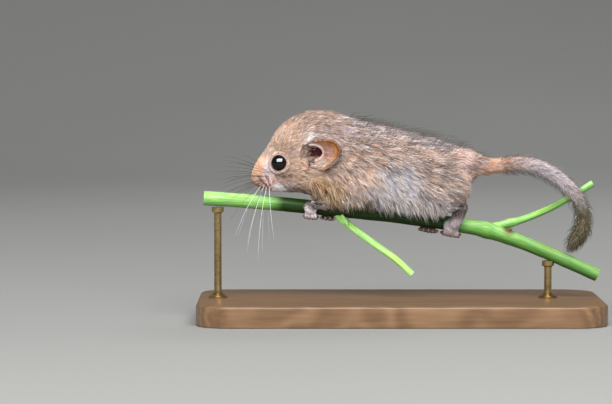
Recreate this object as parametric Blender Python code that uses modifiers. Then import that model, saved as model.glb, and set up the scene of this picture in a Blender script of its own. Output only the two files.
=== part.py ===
"""Hazel dormouse, a young one, as a still life-size model on a cut green stem held by a display stand.

Metres, +Z up. The nose points to -X, the animal's left side faces -Y, and the stand's base rests on z = 0.
Sizes below are millimetres and are scaled by MM where a mesh is made.
"""

import math

import bmesh
import bpy
import numpy as np
from mathutils import Matrix, Vector
from mathutils.bvhtree import BVHTree

MM = 0.001
GAP = 0.3  # between two nodes that touch
FAR = 400.0  # longer than the whole model

# Stations along the body, nose to tail: x, top and bottom of the coat, half width, and how far up the widest
# line runs, as a share of the height there.
BODY = {
    "nose tip": (-41.6, 39.8, 39.5, 0.1, 0.50),
    "nose pad": (-41.2, 41.4, 38.3, 1.5, 0.48),
    "nose bridge": (-40.6, 42.8, 37.5, 2.3, 0.46),
    "muzzle": (-39.5, 44.8, 36.7, 3.1, 0.42),
    "whisker pads": (-38.1, 46.7, 36.3, 3.9, 0.38),
    "stop": (-36.5, 49.1, 36.1, 4.7, 0.38),
    "brow": (-35.0, 51.9, 36.0, 5.6, 0.44),
    "eyes": (-33.3, 54.1, 35.9, 6.6, 0.48),
    "forehead": (-30.8, 56.0, 35.8, 7.9, 0.50),
    "crown": (-28.0, 57.2, 35.7, 8.9, 0.50),
    "ears": (-24.6, 58.0, 34.9, 9.4, 0.50),
    "nape": (-21.0, 57.9, 33.3, 9.4, 0.49),
    "neck": (-17.4, 57.1, 32.2, 9.3, 0.47),
    "withers": (-13.4, 55.8, 31.8, 9.6, 0.46),
    "chest": (-8.4, 54.3, 31.4, 10.2, 0.43),
    "ribs": (-1.4, 52.8, 30.4, 11.1, 0.42),
    "belly": (5.6, 51.1, 29.3, 11.4, 0.42),
    "loin": (11.2, 49.8, 29.7, 10.9, 0.45),
    "hips": (14.8, 49.1, 31.2, 9.6, 0.48),
    "rump": (17.4, 48.4, 34.0, 7.6, 0.50),
    "buttocks": (19.0, 47.5, 37.6, 5.2, 0.52),
    "under the tail": (20.4, 46.6, 39.9, 3.4, 0.52),
    "tail root": (22.1, 45.8, 40.5, 2.7, 0.50),
    "tail start": (24.1, 45.2, 40.7, 2.3, 0.50),
}
BODY_SIDES = 32
RING_SPACING = (1.4, 3.2)  # along the head and along the trunk
ROUNDNESS = 2.25  # the superellipse's exponent, 2 being a plain ellipse

# Soft swellings of the coat over what lies under it: x, z, reach and how far out, on both sides.
SWELLINGS = {
    "whisker pad": (-38.0, 38.8, 1.7, 0.55),
    "cheek": (-28.0, 40.2, 3.6, 0.55),
    "hollow before the eye": (-36.3, 43.6, 1.5, -0.35),
    "brow ridge": (-34.0, 47.0, 1.6, 0.35),
    "chin": (-35.0, 36.4, 1.6, 0.25),
    "flank": (4.0, 34.5, 7.0, 0.6),
}

# Planes that part head, neck and torso: a point on each, and its lean from upright in degrees.
HEAD_PLANE = (-18.6, 45.0, 14.0)
NECK_PLANE = (-13.6, 45.0, 12.0)

EYE_CENTRE = (-33.55, 4.7, 44.0)
EYE_RADIUS = 2.5
EYE_GAP = 0.2
LID_RADIUS = 3.0
LID_OPENING = (1.98, 1.9)  # half length and half height of the gap between the lids
GAZE_FORWARD, GAZE_UP = 20.0, 6.0  # degrees from straight out sideways

MOUTH_AXIS_X = -36.8  # the mouth line runs round the muzzle about this upright axis
MOUTH_HEIGHTS = (37.0, 37.6)  # at the front and at the corners
MOUTH_TURN = 98.0  # degrees to each side
MOUTH_RADIUS = 0.26
CLEFT_TOP = 37.9  # the cleft of the upper lip runs from here down to the mouth
NOSTRIL = (-40.6, 0.85, 38.1)
NOSTRIL_RADII = (0.55, 0.3, 0.42)

EAR_CENTRE = (-21.9, 9.9, 46.6)
EAR_LONG, EAR_HIGH = 11.4, 7.7
EAR_WALL = 0.62
EAR_STANDS_OFF, EAR_TIPS_UP = 27.0, 5.0  # degrees
EAR_DEPTHS = (2.8, 1.35)  # of the cup, at its front and at its back
CANAL = (-2.9, 0.1, 1.3)  # place along and across the ear, and radius
CANAL_DEPTH = 3.2

# The stem and its two side shoots, along their middles: x, y, z.
STEM_PATH = (
    (-54.9, 0.0, 34.0),
    (-42.0, 0.2, 33.1),
    (-28.0, 0.0, 31.8),
    (-14.0, -0.1, 30.4),
    (0.0, 0.0, 28.9),
    (16.8, 0.0, 26.4),
    (25.0, 0.0, 24.8),
    (35.0, -0.2, 21.3),
    (45.0, -0.3, 17.1),
    (55.4, -0.2, 12.4),
)
STEM_RADII = (2.0, 2.0, 2.0, 2.05, 2.05, 2.05, 2.2, 1.95, 1.9, 1.85)
UPPER_SHOOT = (
    (24.5, 0.9, 25.2),
    (29.4, 1.9, 26.5),
    (35.0, 3.3, 27.9),
    (42.0, 4.8, 30.6),
    (48.0, 5.9, 33.7),
    (54.6, 7.0, 37.7),
)
UPPER_RADII = (1.25, 1.15, 1.0, 0.95, 0.95, 0.95)
LOWER_SHOOT = (
    (-16.6, -0.5, 28.6),
    (-14.0, -1.0, 26.3),
    (-7.0, -1.4, 21.1),
    (-1.4, -1.8, 17.1),
    (3.4, -2.2, 12.8),
)
LOWER_RADII = (1.1, 1.05, 1.0, 0.95, 0.9)

# Each leg: centre and radii of its fleshy top, then the joints below it as x, y, z, radius. y is out
# from the middle, and shift moves the foot along the stem, as the four feet don't stand side by side.
SHOULDER = ((-11.8, 7.3, 38.4), (3.9, 2.9, 5.4))
FORE_JOINTS = (
    (-12.0, 7.6, 35.0, 2.3),
    (-14.6, 7.2, 33.4, 1.75),
    (-20.2, 5.4, 32.9, 1.5),
    (-23.9, 4.3, 32.6, 1.2),
)
HAUNCH = ((11.4, 7.1, 37.6), (7.0, 4.75, 7.2))
HIND_JOINTS = ((8.4, 8.4, 33.9, 2.9), (12.3, 8.2, 32.0, 2.2), (16.7, 6.9, 32.7, 1.85))
HIND_METATARSUS = ((17.1, 6.6, 32.4, 1.75), (16.3, 5.6, 29.6, 1.6), (15.2, 4.6, 27.2, 1.45))
FORE_SHIFT = {"left": 0.0, "right": 4.75}
HIND_SHIFT = {"left": 0.0, "right": -6.3}
FORE_HAND_X, HIND_FOOT_X = -24.9, 14.3
FORE_TOES = (-1.55, -0.55, 0.5, 1.45)  # along the stem from the middle of the hand
HIND_TOES = (-2.1, -1.05, 0.0, 1.0, 1.95)
FORE_TOE_RADIUS, HIND_TOE_RADIUS = 0.5, 0.54
FORE_PALM, HIND_PALM = (2.0, 1.05, 1.9), (2.3, 1.1, 2.2)
FORE_ARC, HIND_ARC = (14.0, 110.0), (20.0, 106.0)  # degrees round the stem, 0 outwards, 90 below it
KNUCKLE = 1.1  # how far a bent toe stands off the stem at its knuckles
CLAW_LENGTH, CLAW_RADIUS = 0.9, 0.3

TAIL_PATH = (
    (24.4, 0.0, 42.95),
    (28.2, -0.1, 43.1),
    (32.6, -0.3, 43.5),
    (37.0, -0.7, 43.1),
    (41.0, -1.2, 41.6),
    (44.6, -1.6, 39.2),
    (47.8, -2.0, 36.2),
    (50.0, -2.2, 33.0),
    (51.1, -2.3, 29.4),
    (50.9, -2.2, 26.0),
    (49.5, -2.0, 23.0),
    (48.2, -1.7, 20.9),
)
TAIL_RADII = (2.25, 2.2, 2.35, 2.45, 2.5, 2.5, 2.45, 2.4, 2.35, 2.3, 2.15, 1.6)
TAIL_LENGTHS = 4

BASE_SIZE = (113.0, 52.0, 6.0)
BASE_CORNER, BASE_EDGE = 9.0, 0.8
ROD_X = {"front": -51.0, "rear": 41.5}
ROD_RADIUS, ROD_FOOT_RADIUS, ROD_FOOT_HEIGHT = 1.05, 2.6, 0.9

COLOURS = {
    "coat": ((0.48, 0.33, 0.26), 0.85, 0.0),
    "bare_skin": ((0.46, 0.31, 0.29), 0.6, 0.0),
    "eye": ((0.004, 0.004, 0.005), 0.08, 0.0),
    "green_stem": ((0.20, 0.45, 0.12), 0.45, 0.0),
    "base_wood": ((0.30, 0.19, 0.11), 0.5, 0.0),
    "rod_metal": ((0.52, 0.40, 0.20), 0.3, 1.0),
}


def collection(name):
    made = bpy.data.collections.new(name)
    bpy.context.scene.collection.children.link(made)
    return made


def clear_scene():
    for obj in list(bpy.data.objects):
        bpy.data.objects.remove(obj)


clear_scene()
PARTS = collection("hazel_dormouse")
CUTTERS = collection("cutters")


def material(name):
    found = bpy.data.materials.get(name)
    if found:
        return found
    colour, roughness, metallic = COLOURS[name]
    made = bpy.data.materials.new(name)
    made.use_nodes = True
    shader = made.node_tree.nodes["Principled BSDF"]
    shader.inputs["Base Color"].default_value = (*colour, 1.0)
    shader.inputs["Roughness"].default_value = roughness
    shader.inputs["Metallic"].default_value = metallic
    return made


def helper(name, mesh):
    """A mesh object among the cutters, where the render doesn't show it."""
    obj = bpy.data.objects.new(name, mesh)
    obj.hide_render = True
    obj.display_type = "WIRE"
    CUTTERS.objects.link(obj)
    return obj


def helper_from(bm, name):
    """The bmesh, in millimetres, as a helper in metres with its faces pointing out."""
    bmesh.ops.recalc_face_normals(bm, faces=bm.faces)
    bmesh.ops.scale(bm, vec=(MM, MM, MM), verts=bm.verts)
    mesh = bpy.data.meshes.new(name)
    bm.to_mesh(mesh)
    bm.free()
    return helper(name, mesh)


def evaluated_mesh(obj, name):
    graph = bpy.context.evaluated_depsgraph_get()
    return bpy.data.meshes.new_from_object(obj.evaluated_get(graph))


def boolean(obj, others, operation, solver="MANIFOLD"):
    """obj with the others joined or cut away in one applied Boolean. The others are removed."""
    group = bpy.data.collections.new("operands")
    bpy.context.scene.collection.children.link(group)
    for other in others:
        group.objects.link(other)
    step = obj.modifiers.new("boolean", "BOOLEAN")
    step.operation = operation
    step.operand_type = "COLLECTION"
    step.collection = group
    step.solver = solver
    bpy.context.view_layer.update()
    mesh = evaluated_mesh(obj, obj.name)
    obj.modifiers.clear()
    obj.data = mesh
    for other in others:
        bpy.data.objects.remove(other)
    bpy.data.collections.remove(group)
    return obj


def fuse(obj, others):
    return boolean(obj, others, "UNION")


def carve(obj, cutters):
    return boolean(obj, cutters, "DIFFERENCE")


def copy_of(obj):
    made = helper(obj.name + "_copy", obj.data.copy())
    made.matrix_world = obj.matrix_world
    return made


def largest_piece(obj):
    """Keeps the object's largest closed surface and drops any scrap that a cut left."""
    bm = bmesh.new()
    bm.from_mesh(obj.data)
    seen, pieces = set(), []
    for start in bm.verts:
        if start in seen:
            continue
        piece, front = {start}, [start]
        while front:
            vertex = front.pop()
            for edge in vertex.link_edges:
                other = edge.other_vert(vertex)
                if other not in piece:
                    piece.add(other)
                    front.append(other)
        seen |= piece
        pieces.append(piece)
    pieces.sort(key=len, reverse=True)
    scraps = [vertex for piece in pieces[1:] for vertex in piece]
    bmesh.ops.delete(bm, geom=scraps, context="VERTS")
    bm.to_mesh(obj.data)
    bm.free()


def finish(obj, name, slot):
    """Makes a helper into a named node of the model."""
    largest_piece(obj)
    CUTTERS.objects.unlink(obj)
    PARTS.objects.link(obj)
    obj.name = name
    obj.hide_render = False
    obj.display_type = "TEXTURED"
    obj.data.name = name
    obj.data.materials.clear()
    obj.data.materials.append(material(slot))
    obj.data.shade_smooth()
    obj.data.set_sharp_from_angle(angle=math.radians(40))
    return obj


def smooth_path(points, count):
    """count points on a Catmull-Rom curve through the given ones, which may carry a radius as well."""
    given = np.array(points, float)
    padded = np.vstack([2 * given[0] - given[1], given, 2 * given[-1] - given[-2]])
    made = []
    for place in np.linspace(0, len(given) - 1, count):
        i = min(int(place), len(given) - 2)
        t = place - i
        a, b, c, d = padded[i : i + 4]
        square = 2 * a - 5 * b + 4 * c - d
        cube = 3 * b - a - 3 * c + d
        made.append(0.5 * (2 * b + (c - a) * t + square * t**2 + cube * t**3))
    return [tuple(point) for point in made]


def smooth_values(stations, places):
    """Fritsch-Carlson interpolation, which never overshoots between two stations."""
    x = np.array([row[0] for row in stations], float)
    y = np.array([row[1:] for row in stations], float)
    width = np.diff(x)[:, None]
    slope = np.diff(y, axis=0) / width
    tangent = np.vstack([slope[:1], (slope[1:] + slope[:-1]) / 2, slope[-1:]])
    tangent[1:-1][slope[1:] * slope[:-1] <= 0] = 0
    steepest = 3 * np.minimum(np.abs(np.vstack([slope, slope[-1:]])), np.abs(np.vstack([slope[:1], slope])))
    tangent = np.clip(tangent, -steepest, steepest)
    i = np.clip(np.searchsorted(x, places, side="right") - 1, 0, len(x) - 2)
    t = ((places - x[i]) / np.diff(x)[i])[:, None]
    values = y[i] * (1 + 2 * t) * (1 - t) ** 2 + y[i + 1] * t**2 * (3 - 2 * t)
    slopes = tangent[i] * t * (1 - t) ** 2 - tangent[i + 1] * t**2 * (1 - t)
    return values + slopes * width[i]


def tube(name, points, sides=10, grow=0.0):
    """A tapering tube with flat ends through points of x, y, z, radius, grown all round for a cutter."""
    curve = bpy.data.curves.new(name, "CURVE")
    curve.dimensions = "3D"
    curve.bevel_depth = MM
    curve.bevel_resolution = sides // 2 - 2
    curve.use_fill_caps = True
    spline = curve.splines.new("POLY")
    spline.points.add(len(points) - 1)
    for target, (x, y, z, radius) in zip(spline.points, points):
        target.co = (x * MM, y * MM, z * MM, 1.0)
        target.radius = radius + grow
    source = bpy.data.objects.new(name, curve)
    CUTTERS.objects.link(source)
    bpy.context.view_layer.update()
    mesh = evaluated_mesh(source, name)
    bpy.data.objects.remove(source)
    bm = bmesh.new()
    bm.from_mesh(mesh)
    bmesh.ops.remove_doubles(bm, verts=bm.verts, dist=0.01 * MM)
    bmesh.ops.recalc_face_normals(bm, faces=bm.faces)
    bm.to_mesh(mesh)
    bm.free()
    return helper(name, mesh)


def ball(name, centre, radii, segments=16, rings=10, turn=None):
    bm = bmesh.new()
    bmesh.ops.create_uvsphere(bm, u_segments=segments, v_segments=rings, radius=1.0)
    bmesh.ops.scale(bm, vec=radii, verts=bm.verts)
    if turn is not None:
        bmesh.ops.transform(bm, matrix=turn.to_4x4(), verts=bm.verts)
    bmesh.ops.translate(bm, vec=centre, verts=bm.verts)
    return helper_from(bm, name)


def beyond(plane, forward, inset=0.0):
    """A huge box that fills the space in front of (or behind) a plane leaning about the Y axis."""
    x, z, lean = plane
    bm = bmesh.new()
    bmesh.ops.create_cube(bm, size=FAR)
    bmesh.ops.translate(bm, vec=((-1 if forward else 1) * (FAR / 2 - inset), 0, 0), verts=bm.verts)
    bmesh.ops.rotate(bm, matrix=Matrix.Rotation(math.radians(-lean), 3, "Y"), verts=bm.verts)
    bmesh.ops.translate(bm, vec=(x, 0, z), verts=bm.verts)
    return helper_from(bm, "half_space")


def body_blank():
    """The whole body's coat from nose to tail root as one loft, with its soft swellings."""
    stations = list(BODY.values())
    places = [stations[0][0]]
    for before, after in zip(stations, stations[1:]):
        along_the_trunk = HEAD_PLANE[0] - 3 <= before[0] <= BODY["hips"][0]
        spacing = RING_SPACING[1] if along_the_trunk else RING_SPACING[0]
        steps = max(1, round((after[0] - before[0]) / spacing))
        places += list(np.linspace(before[0], after[0], steps + 1)[1:])
    sections = smooth_values(stations, np.array(places))
    bm = bmesh.new()
    rings = []
    for x, (top, bottom, half, share) in zip(places, sections):
        middle = bottom + share * (top - bottom)
        ring = []
        for k in range(BODY_SIDES):
            angle = 2 * math.pi * k / BODY_SIDES
            c, s = math.cos(angle), math.sin(angle)
            out = math.copysign(abs(c) ** (2 / ROUNDNESS), c) * half
            height = (top - middle) if s > 0 else (middle - bottom)
            up = math.copysign(abs(s) ** (2 / ROUNDNESS), s) * height
            y, z = swollen(x, out, middle + up, middle)
            ring.append(bm.verts.new((x, y, z)))
        rings.append(ring)
    for before, after in zip(rings, rings[1:]):
        for k in range(BODY_SIDES):
            j = (k + 1) % BODY_SIDES
            bm.faces.new((before[k], before[j], after[j], after[k]))
    bm.faces.new(rings[0])
    bm.faces.new(list(reversed(rings[-1])))
    return helper_from(bm, "body_blank")


def swollen(x, y, z, middle):
    """The point moved outwards in its cross-section by the swellings near it."""
    out = Vector((y, z - middle))
    if out.length < 1e-6:
        return y, z
    push = 0.0
    for at_x, at_z, reach, amount in SWELLINGS.values():
        far = math.hypot(x - at_x, z - at_z) / reach
        push += amount * math.exp(-far * far) * min(1.0, abs(y) / 1.5)
    out += out.normalized() * push
    return out.x, out.y + middle


def side_of(side):
    return -1.0 if side == "left" else 1.0


def at_side(side, place):
    return Vector((place[0], side_of(side) * place[1], place[2]))


def gaze(side):
    turn, rise = math.radians(GAZE_FORWARD), math.radians(GAZE_UP)
    level = Vector((-math.sin(turn), side_of(side) * math.cos(turn), 0.0))
    return level * math.cos(rise) + Vector((0.0, 0.0, math.sin(rise)))


def stem_centre(x):
    """The stem's middle at a place along it, as y and z."""
    path = sorted(STEM_PATH)
    values = smooth_values(path, np.array([x]))[0]
    return float(values[0]), float(values[1])


def stem_points():
    joined = [(*point, radius) for point, radius in zip(STEM_PATH, STEM_RADII)]
    return smooth_path(joined, 22)


def stem_cutter():
    return tube("stem_cutter", stem_points(), 12, GAP)


def lid_opening(side):
    """A short oval bar along the gaze, which opens the lids."""
    aim = gaze(side)
    bm = bmesh.new()
    bmesh.ops.create_cone(bm, cap_ends=True, segments=22, radius1=1.0, radius2=1.0, depth=8.0)
    bmesh.ops.scale(bm, vec=(LID_OPENING[0], LID_OPENING[1], 1.0), verts=bm.verts)
    bmesh.ops.rotate(bm, matrix=aim.to_track_quat("Z", "Y").to_matrix(), verts=bm.verts)
    bmesh.ops.translate(bm, vec=at_side(side, EYE_CENTRE) + aim * 4.6, verts=bm.verts)
    return helper_from(bm, "lid_opening")


def ear_matrix(side):
    """The ear's own axes: X from its root to its tip, Y up across it, Z out of the cup."""
    s = side_of(side)
    off, up = math.radians(EAR_STANDS_OFF), math.radians(EAR_TIPS_UP)
    along = Vector((math.cos(off) * math.cos(up), s * math.sin(off) * math.cos(up), math.sin(up)))
    out = Vector((-math.sin(off), s * math.cos(off), 0.0))
    across = out.cross(along).normalized()
    turn = Matrix((along, across, out)).transposed()
    return Matrix.Translation(at_side(side, EAR_CENTRE)) @ turn.to_4x4()


def ear_shape(side, grow, whole):
    """The ear as an open cup, or as the closed body that clears the space round and before it."""
    bm = bmesh.new()
    bmesh.ops.create_uvsphere(bm, u_segments=20, v_segments=12, radius=1.0)
    if not whole:
        bmesh.ops.delete(bm, geom=[v for v in bm.verts if v.co.z > 0.01], context="VERTS")
    for v in bm.verts:
        from_middle = min(1.0, math.hypot(v.co.x, v.co.y))
        back = (v.co.x + 1) / 2
        depth = EAR_DEPTHS[0] + (EAR_DEPTHS[1] - EAR_DEPTHS[0]) * back
        rim_curl = 0.5 * back * from_middle**6
        below = -(depth + grow) * (1 - from_middle**2) + rim_curl
        high = 1.0 + 0.10 * v.co.x
        v.co = (
            v.co.x * (EAR_LONG / 2 + grow),
            v.co.y * (EAR_HIGH / 2 * high + grow),
            below if v.co.z < 0.01 else rim_curl + 3.0 * v.co.z,
        )
    bmesh.ops.transform(bm, matrix=ear_matrix(side), verts=bm.verts)
    if side == "left":
        bmesh.ops.reverse_faces(bm, faces=bm.faces)
    return bm


def ear_cutter(side):
    return helper_from(ear_shape(side, EAR_WALL + GAP, True), "ear_cutter")


def canal(side, radius, depth):
    """A short bar through the front of the cup, where the ear canal starts."""
    bm = bmesh.new()
    bmesh.ops.create_cone(bm, cap_ends=True, segments=12, radius1=radius * 0.7, radius2=radius, depth=depth)
    bmesh.ops.translate(bm, vec=(CANAL[0], CANAL[1], -EAR_DEPTHS[0] - depth / 2 + 1.6), verts=bm.verts)
    bmesh.ops.transform(bm, matrix=ear_matrix(side), verts=bm.verts)
    return helper_from(bm, "canal")


def make_ear(side):
    bm = ear_shape(side, 0.0, False)
    bmesh.ops.recalc_face_normals(bm, faces=bm.faces)
    mouth = ear_matrix(side).to_3x3() @ Vector((0, 0, 1))
    if sum((f.normal * f.calc_area() for f in bm.faces), Vector()).dot(mouth) < 0:
        bmesh.ops.reverse_faces(bm, faces=bm.faces)
    bmesh.ops.scale(bm, vec=(MM, MM, MM), verts=bm.verts)
    mesh = bpy.data.meshes.new("ear")
    bm.to_mesh(mesh)
    bm.free()
    ear = helper("ear", mesh)
    wall = ear.modifiers.new("wall", "SOLIDIFY")
    wall.thickness = EAR_WALL * MM
    wall.offset = -1.0
    bpy.context.view_layer.update()
    mesh = evaluated_mesh(ear, "ear")
    ear.modifiers.clear()
    ear.data = mesh
    carve(ear, [canal(side, CANAL[2], 4.0)])
    return finish(ear, f"ear_{side}", "bare_skin")


def make_eye(side):
    turn = gaze(side).to_track_quat("Z", "Y").to_matrix()
    eye = ball("eye", at_side(side, EYE_CENTRE), (EYE_RADIUS,) * 3, 16, 10, turn)
    return finish(eye, f"eye_{side}", "eye")


def surface_of(obj):
    bm = bmesh.new()
    bm.from_mesh(obj.data)
    tree = BVHTree.FromBMesh(bm)
    bm.free()
    return tree


def mouth_line(tree):
    """Points on the coat where the lips meet, round the muzzle from one corner to the other."""
    made = []
    for turn in np.linspace(-MOUTH_TURN, MOUTH_TURN, 13):
        angle = math.radians(float(turn))
        way = Vector((-math.cos(angle), math.sin(angle), 0.0))
        share = (abs(turn) / MOUTH_TURN) ** 2
        height = MOUTH_HEIGHTS[0] + (MOUTH_HEIGHTS[1] - MOUTH_HEIGHTS[0]) * share
        axis = Vector((MOUTH_AXIS_X, 0.0, height))
        hit = tree.ray_cast((axis + 20 * way) * MM, -way)[0]
        made.append((*(hit / MM), MOUTH_RADIUS * (1.0 - 0.5 * share)))
    return made


def make_head(blank):
    """Skull, face and jaw, with lids, nostrils, a cleft lip and the line of the mouth."""
    head = copy_of(blank)
    tree = surface_of(head)
    mouth = mouth_line(tree)
    sides = ("left", "right")
    lids = [ball("lids", at_side(s, EYE_CENTRE), (LID_RADIUS,) * 3, 18, 10) for s in sides]
    fuse(head, lids)
    socket = EYE_RADIUS + EYE_GAP
    cutters = [ball("socket", at_side(s, EYE_CENTRE), (socket,) * 3, 18, 10) for s in sides]
    cutters += [lid_opening(s) for s in sides]
    cutters += [ear_cutter(s) for s in sides]
    cutters += [canal(s, CANAL[2] * 0.9, CANAL_DEPTH * 2) for s in sides]
    cutters += [ball("nostril", at_side(s, NOSTRIL), NOSTRIL_RADII, 10, 6) for s in sides]
    cutters.append(tube("mouth", mouth, 6))
    front = mouth[len(mouth) // 2]
    top = tree.ray_cast(Vector((-80.0, 0.0, CLEFT_TOP)) * MM, Vector((1, 0, 0)))[0] / MM
    cutters.append(tube("cleft", [(*top, 0.15), (front[0] - 0.1, 0.0, front[2], 0.2)], 6))
    cutters.append(beyond(HEAD_PLANE, forward=False, inset=GAP / 2))
    carve(head, cutters)
    return head


def limb(name, top, joints, side, grow=0.0, shift=0.0):
    """A leg down to its wrist or ankle: a fleshy top and a tapering tube fused into it."""
    centre, radii = top
    flesh = ball(name, at_side(side, centre), tuple(r + grow for r in radii), 18, 10)
    last = len(joints) - 1
    points = [(x + shift * k / last, side_of(side) * y, z, r) for k, (x, y, z, r) in enumerate(joints)]
    shank = tube(name + "_shank", rounded_start(rounded_end(smooth_path(points, 7))), 10, grow)
    return fuse(flesh, [shank])


def rounded_end(points):
    """The tube's points with two more, which close its far end like a fingertip."""
    *_, before, last = points
    way = (Vector(last[:3]) - Vector(before[:3])).normalized()
    radius = last[3]
    made = list(points)
    for far, size in ((0.6, 0.8), (0.95, 0.35)):
        made.append((*(Vector(last[:3]) + way * radius * far), radius * size))
    return made


def rounded_start(points):
    return list(reversed(rounded_end(list(reversed(points)))))


def toe(side, foot_x, offset, radius, arc, number, reach):
    """One toe bent round the stem, with its pad and claw."""
    x = foot_x + offset
    centre_y, centre_z = stem_centre(x)
    curl = STEM_RADII[4] + GAP + radius + 0.05
    start, end = (math.radians(v) for v in arc)
    points = []
    steps = 4
    for k in range(steps + 1):
        t = k / steps
        angle = start + (end - start) * reach * t
        spread = x + offset * (0.5 * t - 0.3)
        tip_pad = 0.12 * math.exp(-(((t - 0.95) / 0.2) ** 2))
        thick = radius * (0.75 + 0.35 * min(1.0, 3 * t) - 0.1 * t + tip_pad)
        away = curl + KNUCKLE * math.sin(math.pi * min(1.0, 0.15 + t)) ** 2
        y = centre_y + side_of(side) * away * math.cos(angle)
        points.append((spread, y, centre_z - away * math.sin(angle), thick))
    last, before = Vector(points[-1][:3]), Vector(points[-2][:3])
    way = (last - before).normalized()
    nail = [(*(last + way * CLAW_LENGTH * t), CLAW_RADIUS * (1.0 - 0.75 * t)) for t in (-0.3, 0.4, 1.0)]
    made = tube(f"toe_{number}", rounded_end(points), 6)
    return [made, tube(f"claw_{number}", nail, 4)]


def palm_place(side, foot_x, palm, arc):
    """The middle of a palm that lies against the stem's side."""
    centre_y, centre_z = stem_centre(foot_x)
    out = STEM_RADII[4] + GAP + palm[1] + 0.1
    lean = math.radians(arc[0] - 14.0)
    return foot_x, centre_y + side_of(side) * out * math.cos(lean), centre_z - out * math.sin(lean)


def foot(name, side, foot_x, palm, toes, radius, arc, bones):
    """A hand or foot that grips the stem: its palm, the bones that lead to it, and its toes."""
    place = palm_place(side, foot_x, palm, arc)
    pad = ball(name, place, palm, 12, 7)
    pieces = []
    for number, offset in enumerate(toes):
        reach = 1.0 - 0.16 * abs(number - (len(toes) - 1) / 2) / len(toes) * 2
        pieces += toe(side, foot_x, offset, radius, arc, number, reach)
    if bones:
        pieces.append(tube(name + "_bones", rounded_end(smooth_path([*bones, (*place, palm[1])], 6)), 10))
    return fuse(pad, pieces)


def fore_leg(side, grow=0.0):
    return limb(f"fore_leg_{side}", SHOULDER, FORE_JOINTS, side, grow, FORE_SHIFT[side])


def hind_leg(side, grow=0.0):
    return limb(f"hind_leg_{side}", HAUNCH, HIND_JOINTS, side, grow, HIND_SHIFT[side])


def fore_foot(side):
    x, y, z, radius = FORE_JOINTS[-1]
    wrist = (x + FORE_SHIFT[side] + 0.4, side_of(side) * y, z, radius * 0.95)
    hand_x = FORE_HAND_X + FORE_SHIFT[side]
    return foot(f"fore_foot_{side}", side, hand_x, FORE_PALM, FORE_TOES, FORE_TOE_RADIUS, FORE_ARC, [wrist])


def hind_foot(side):
    bones = [(x + HIND_SHIFT[side], side_of(side) * y, z, r) for x, y, z, r in HIND_METATARSUS]
    foot_x = HIND_FOOT_X + HIND_SHIFT[side]
    return foot(f"hind_foot_{side}", side, foot_x, HIND_PALM, HIND_TOES, HIND_TOE_RADIUS, HIND_ARC, bones)


def foot_cutters(side):
    """What the body leaves free round a wrist, a heel and both palms, grown by the gap."""
    x, y, z, radius = FORE_JOINTS[-1]
    made = [ball("wrist_cutter", at_side(side, (x + FORE_SHIFT[side], y, z)), (radius + GAP,) * 3, 12, 8)]
    bones = [(x + HIND_SHIFT[side], side_of(side) * y, z, r) for x, y, z, r in HIND_METATARSUS]
    made.append(tube("heel_cutter", rounded_end(smooth_path(bones, 5)), 10, GAP))
    for foot_x, palm, arc in (
        (FORE_HAND_X + FORE_SHIFT[side], FORE_PALM, FORE_ARC),
        (HIND_FOOT_X + HIND_SHIFT[side], HIND_PALM, HIND_ARC),
    ):
        room = tuple(r + GAP + 0.15 for r in palm)
        made.append(ball("palm_cutter", palm_place(side, foot_x, palm, arc), room, 12, 8))
    return made


def make_legs(side):
    leg = carve(fore_leg(side), [stem_cutter()])
    finish(leg, f"fore_leg_{side}", "coat")
    hand = carve(fore_foot(side), [fore_leg(side, GAP), stem_cutter()])
    finish(hand, f"fore_foot_{side}", "bare_skin")
    leg = carve(hind_leg(side), [stem_cutter()])
    finish(leg, f"hind_leg_{side}", "coat")
    sole = carve(hind_foot(side), [hind_leg(side, GAP), stem_cutter()])
    finish(sole, f"hind_foot_{side}", "bare_skin")


def leg_cutters():
    """Everything of the legs and the stem that the body makes room for."""
    made = [stem_cutter()]
    for side in ("left", "right"):
        made += [fore_leg(side, GAP), hind_leg(side, GAP), *foot_cutters(side)]
    return made


def make_trunk():
    blank = body_blank()
    head = make_head(blank)
    carve(head, leg_cutters())
    finish(head, "head", "coat")
    neck = copy_of(blank)
    walls = [beyond(HEAD_PLANE, True, GAP / 2), beyond(NECK_PLANE, False, GAP / 2)]
    carve(neck, walls + [ear_cutter(s) for s in ("left", "right")] + leg_cutters())
    finish(neck, "neck", "coat")
    carve(blank, [beyond(NECK_PLANE, True, GAP / 2)] + leg_cutters())
    finish(blank, "torso", "coat")


def make_tail():
    """Four lengths that meet end to end along one arch, the last one closing in a blunt tip."""
    joined = [(*point, radius) for point, radius in zip(TAIL_PATH, TAIL_RADII)]
    points = smooth_path(joined, 29)
    share = (len(points) - 1) // TAIL_LENGTHS
    for number in range(TAIL_LENGTHS):
        length = [list(p) for p in points[number * share : (number + 1) * share + 1]]
        if number:
            way = (Vector(length[1][:3]) - Vector(length[0][:3])).normalized()
            length[0][:3] = Vector(length[0][:3]) + way * GAP
        else:
            length[0][0] = BODY["tail start"][0] + GAP
        if number == TAIL_LENGTHS - 1:
            length = rounded_end([tuple(p) for p in length])
        piece = tube(f"tail_{number + 1}", [tuple(p) for p in length], 14)
        finish(piece, f"tail_{number + 1}", "coat")


def make_perch():
    stem = tube("perch_stem", stem_points(), 12)
    finish(stem, "perch_stem", "green_stem")
    for name, path, radii in (
        ("perch_upper_shoot", UPPER_SHOOT, UPPER_RADII),
        ("perch_lower_shoot", LOWER_SHOOT, LOWER_RADII),
    ):
        points = smooth_path([(*point, radius) for point, radius in zip(path, radii)], 12)
        shoot = carve(tube(name, points, 10), [stem_cutter()])
        finish(shoot, name, "green_stem")


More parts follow.
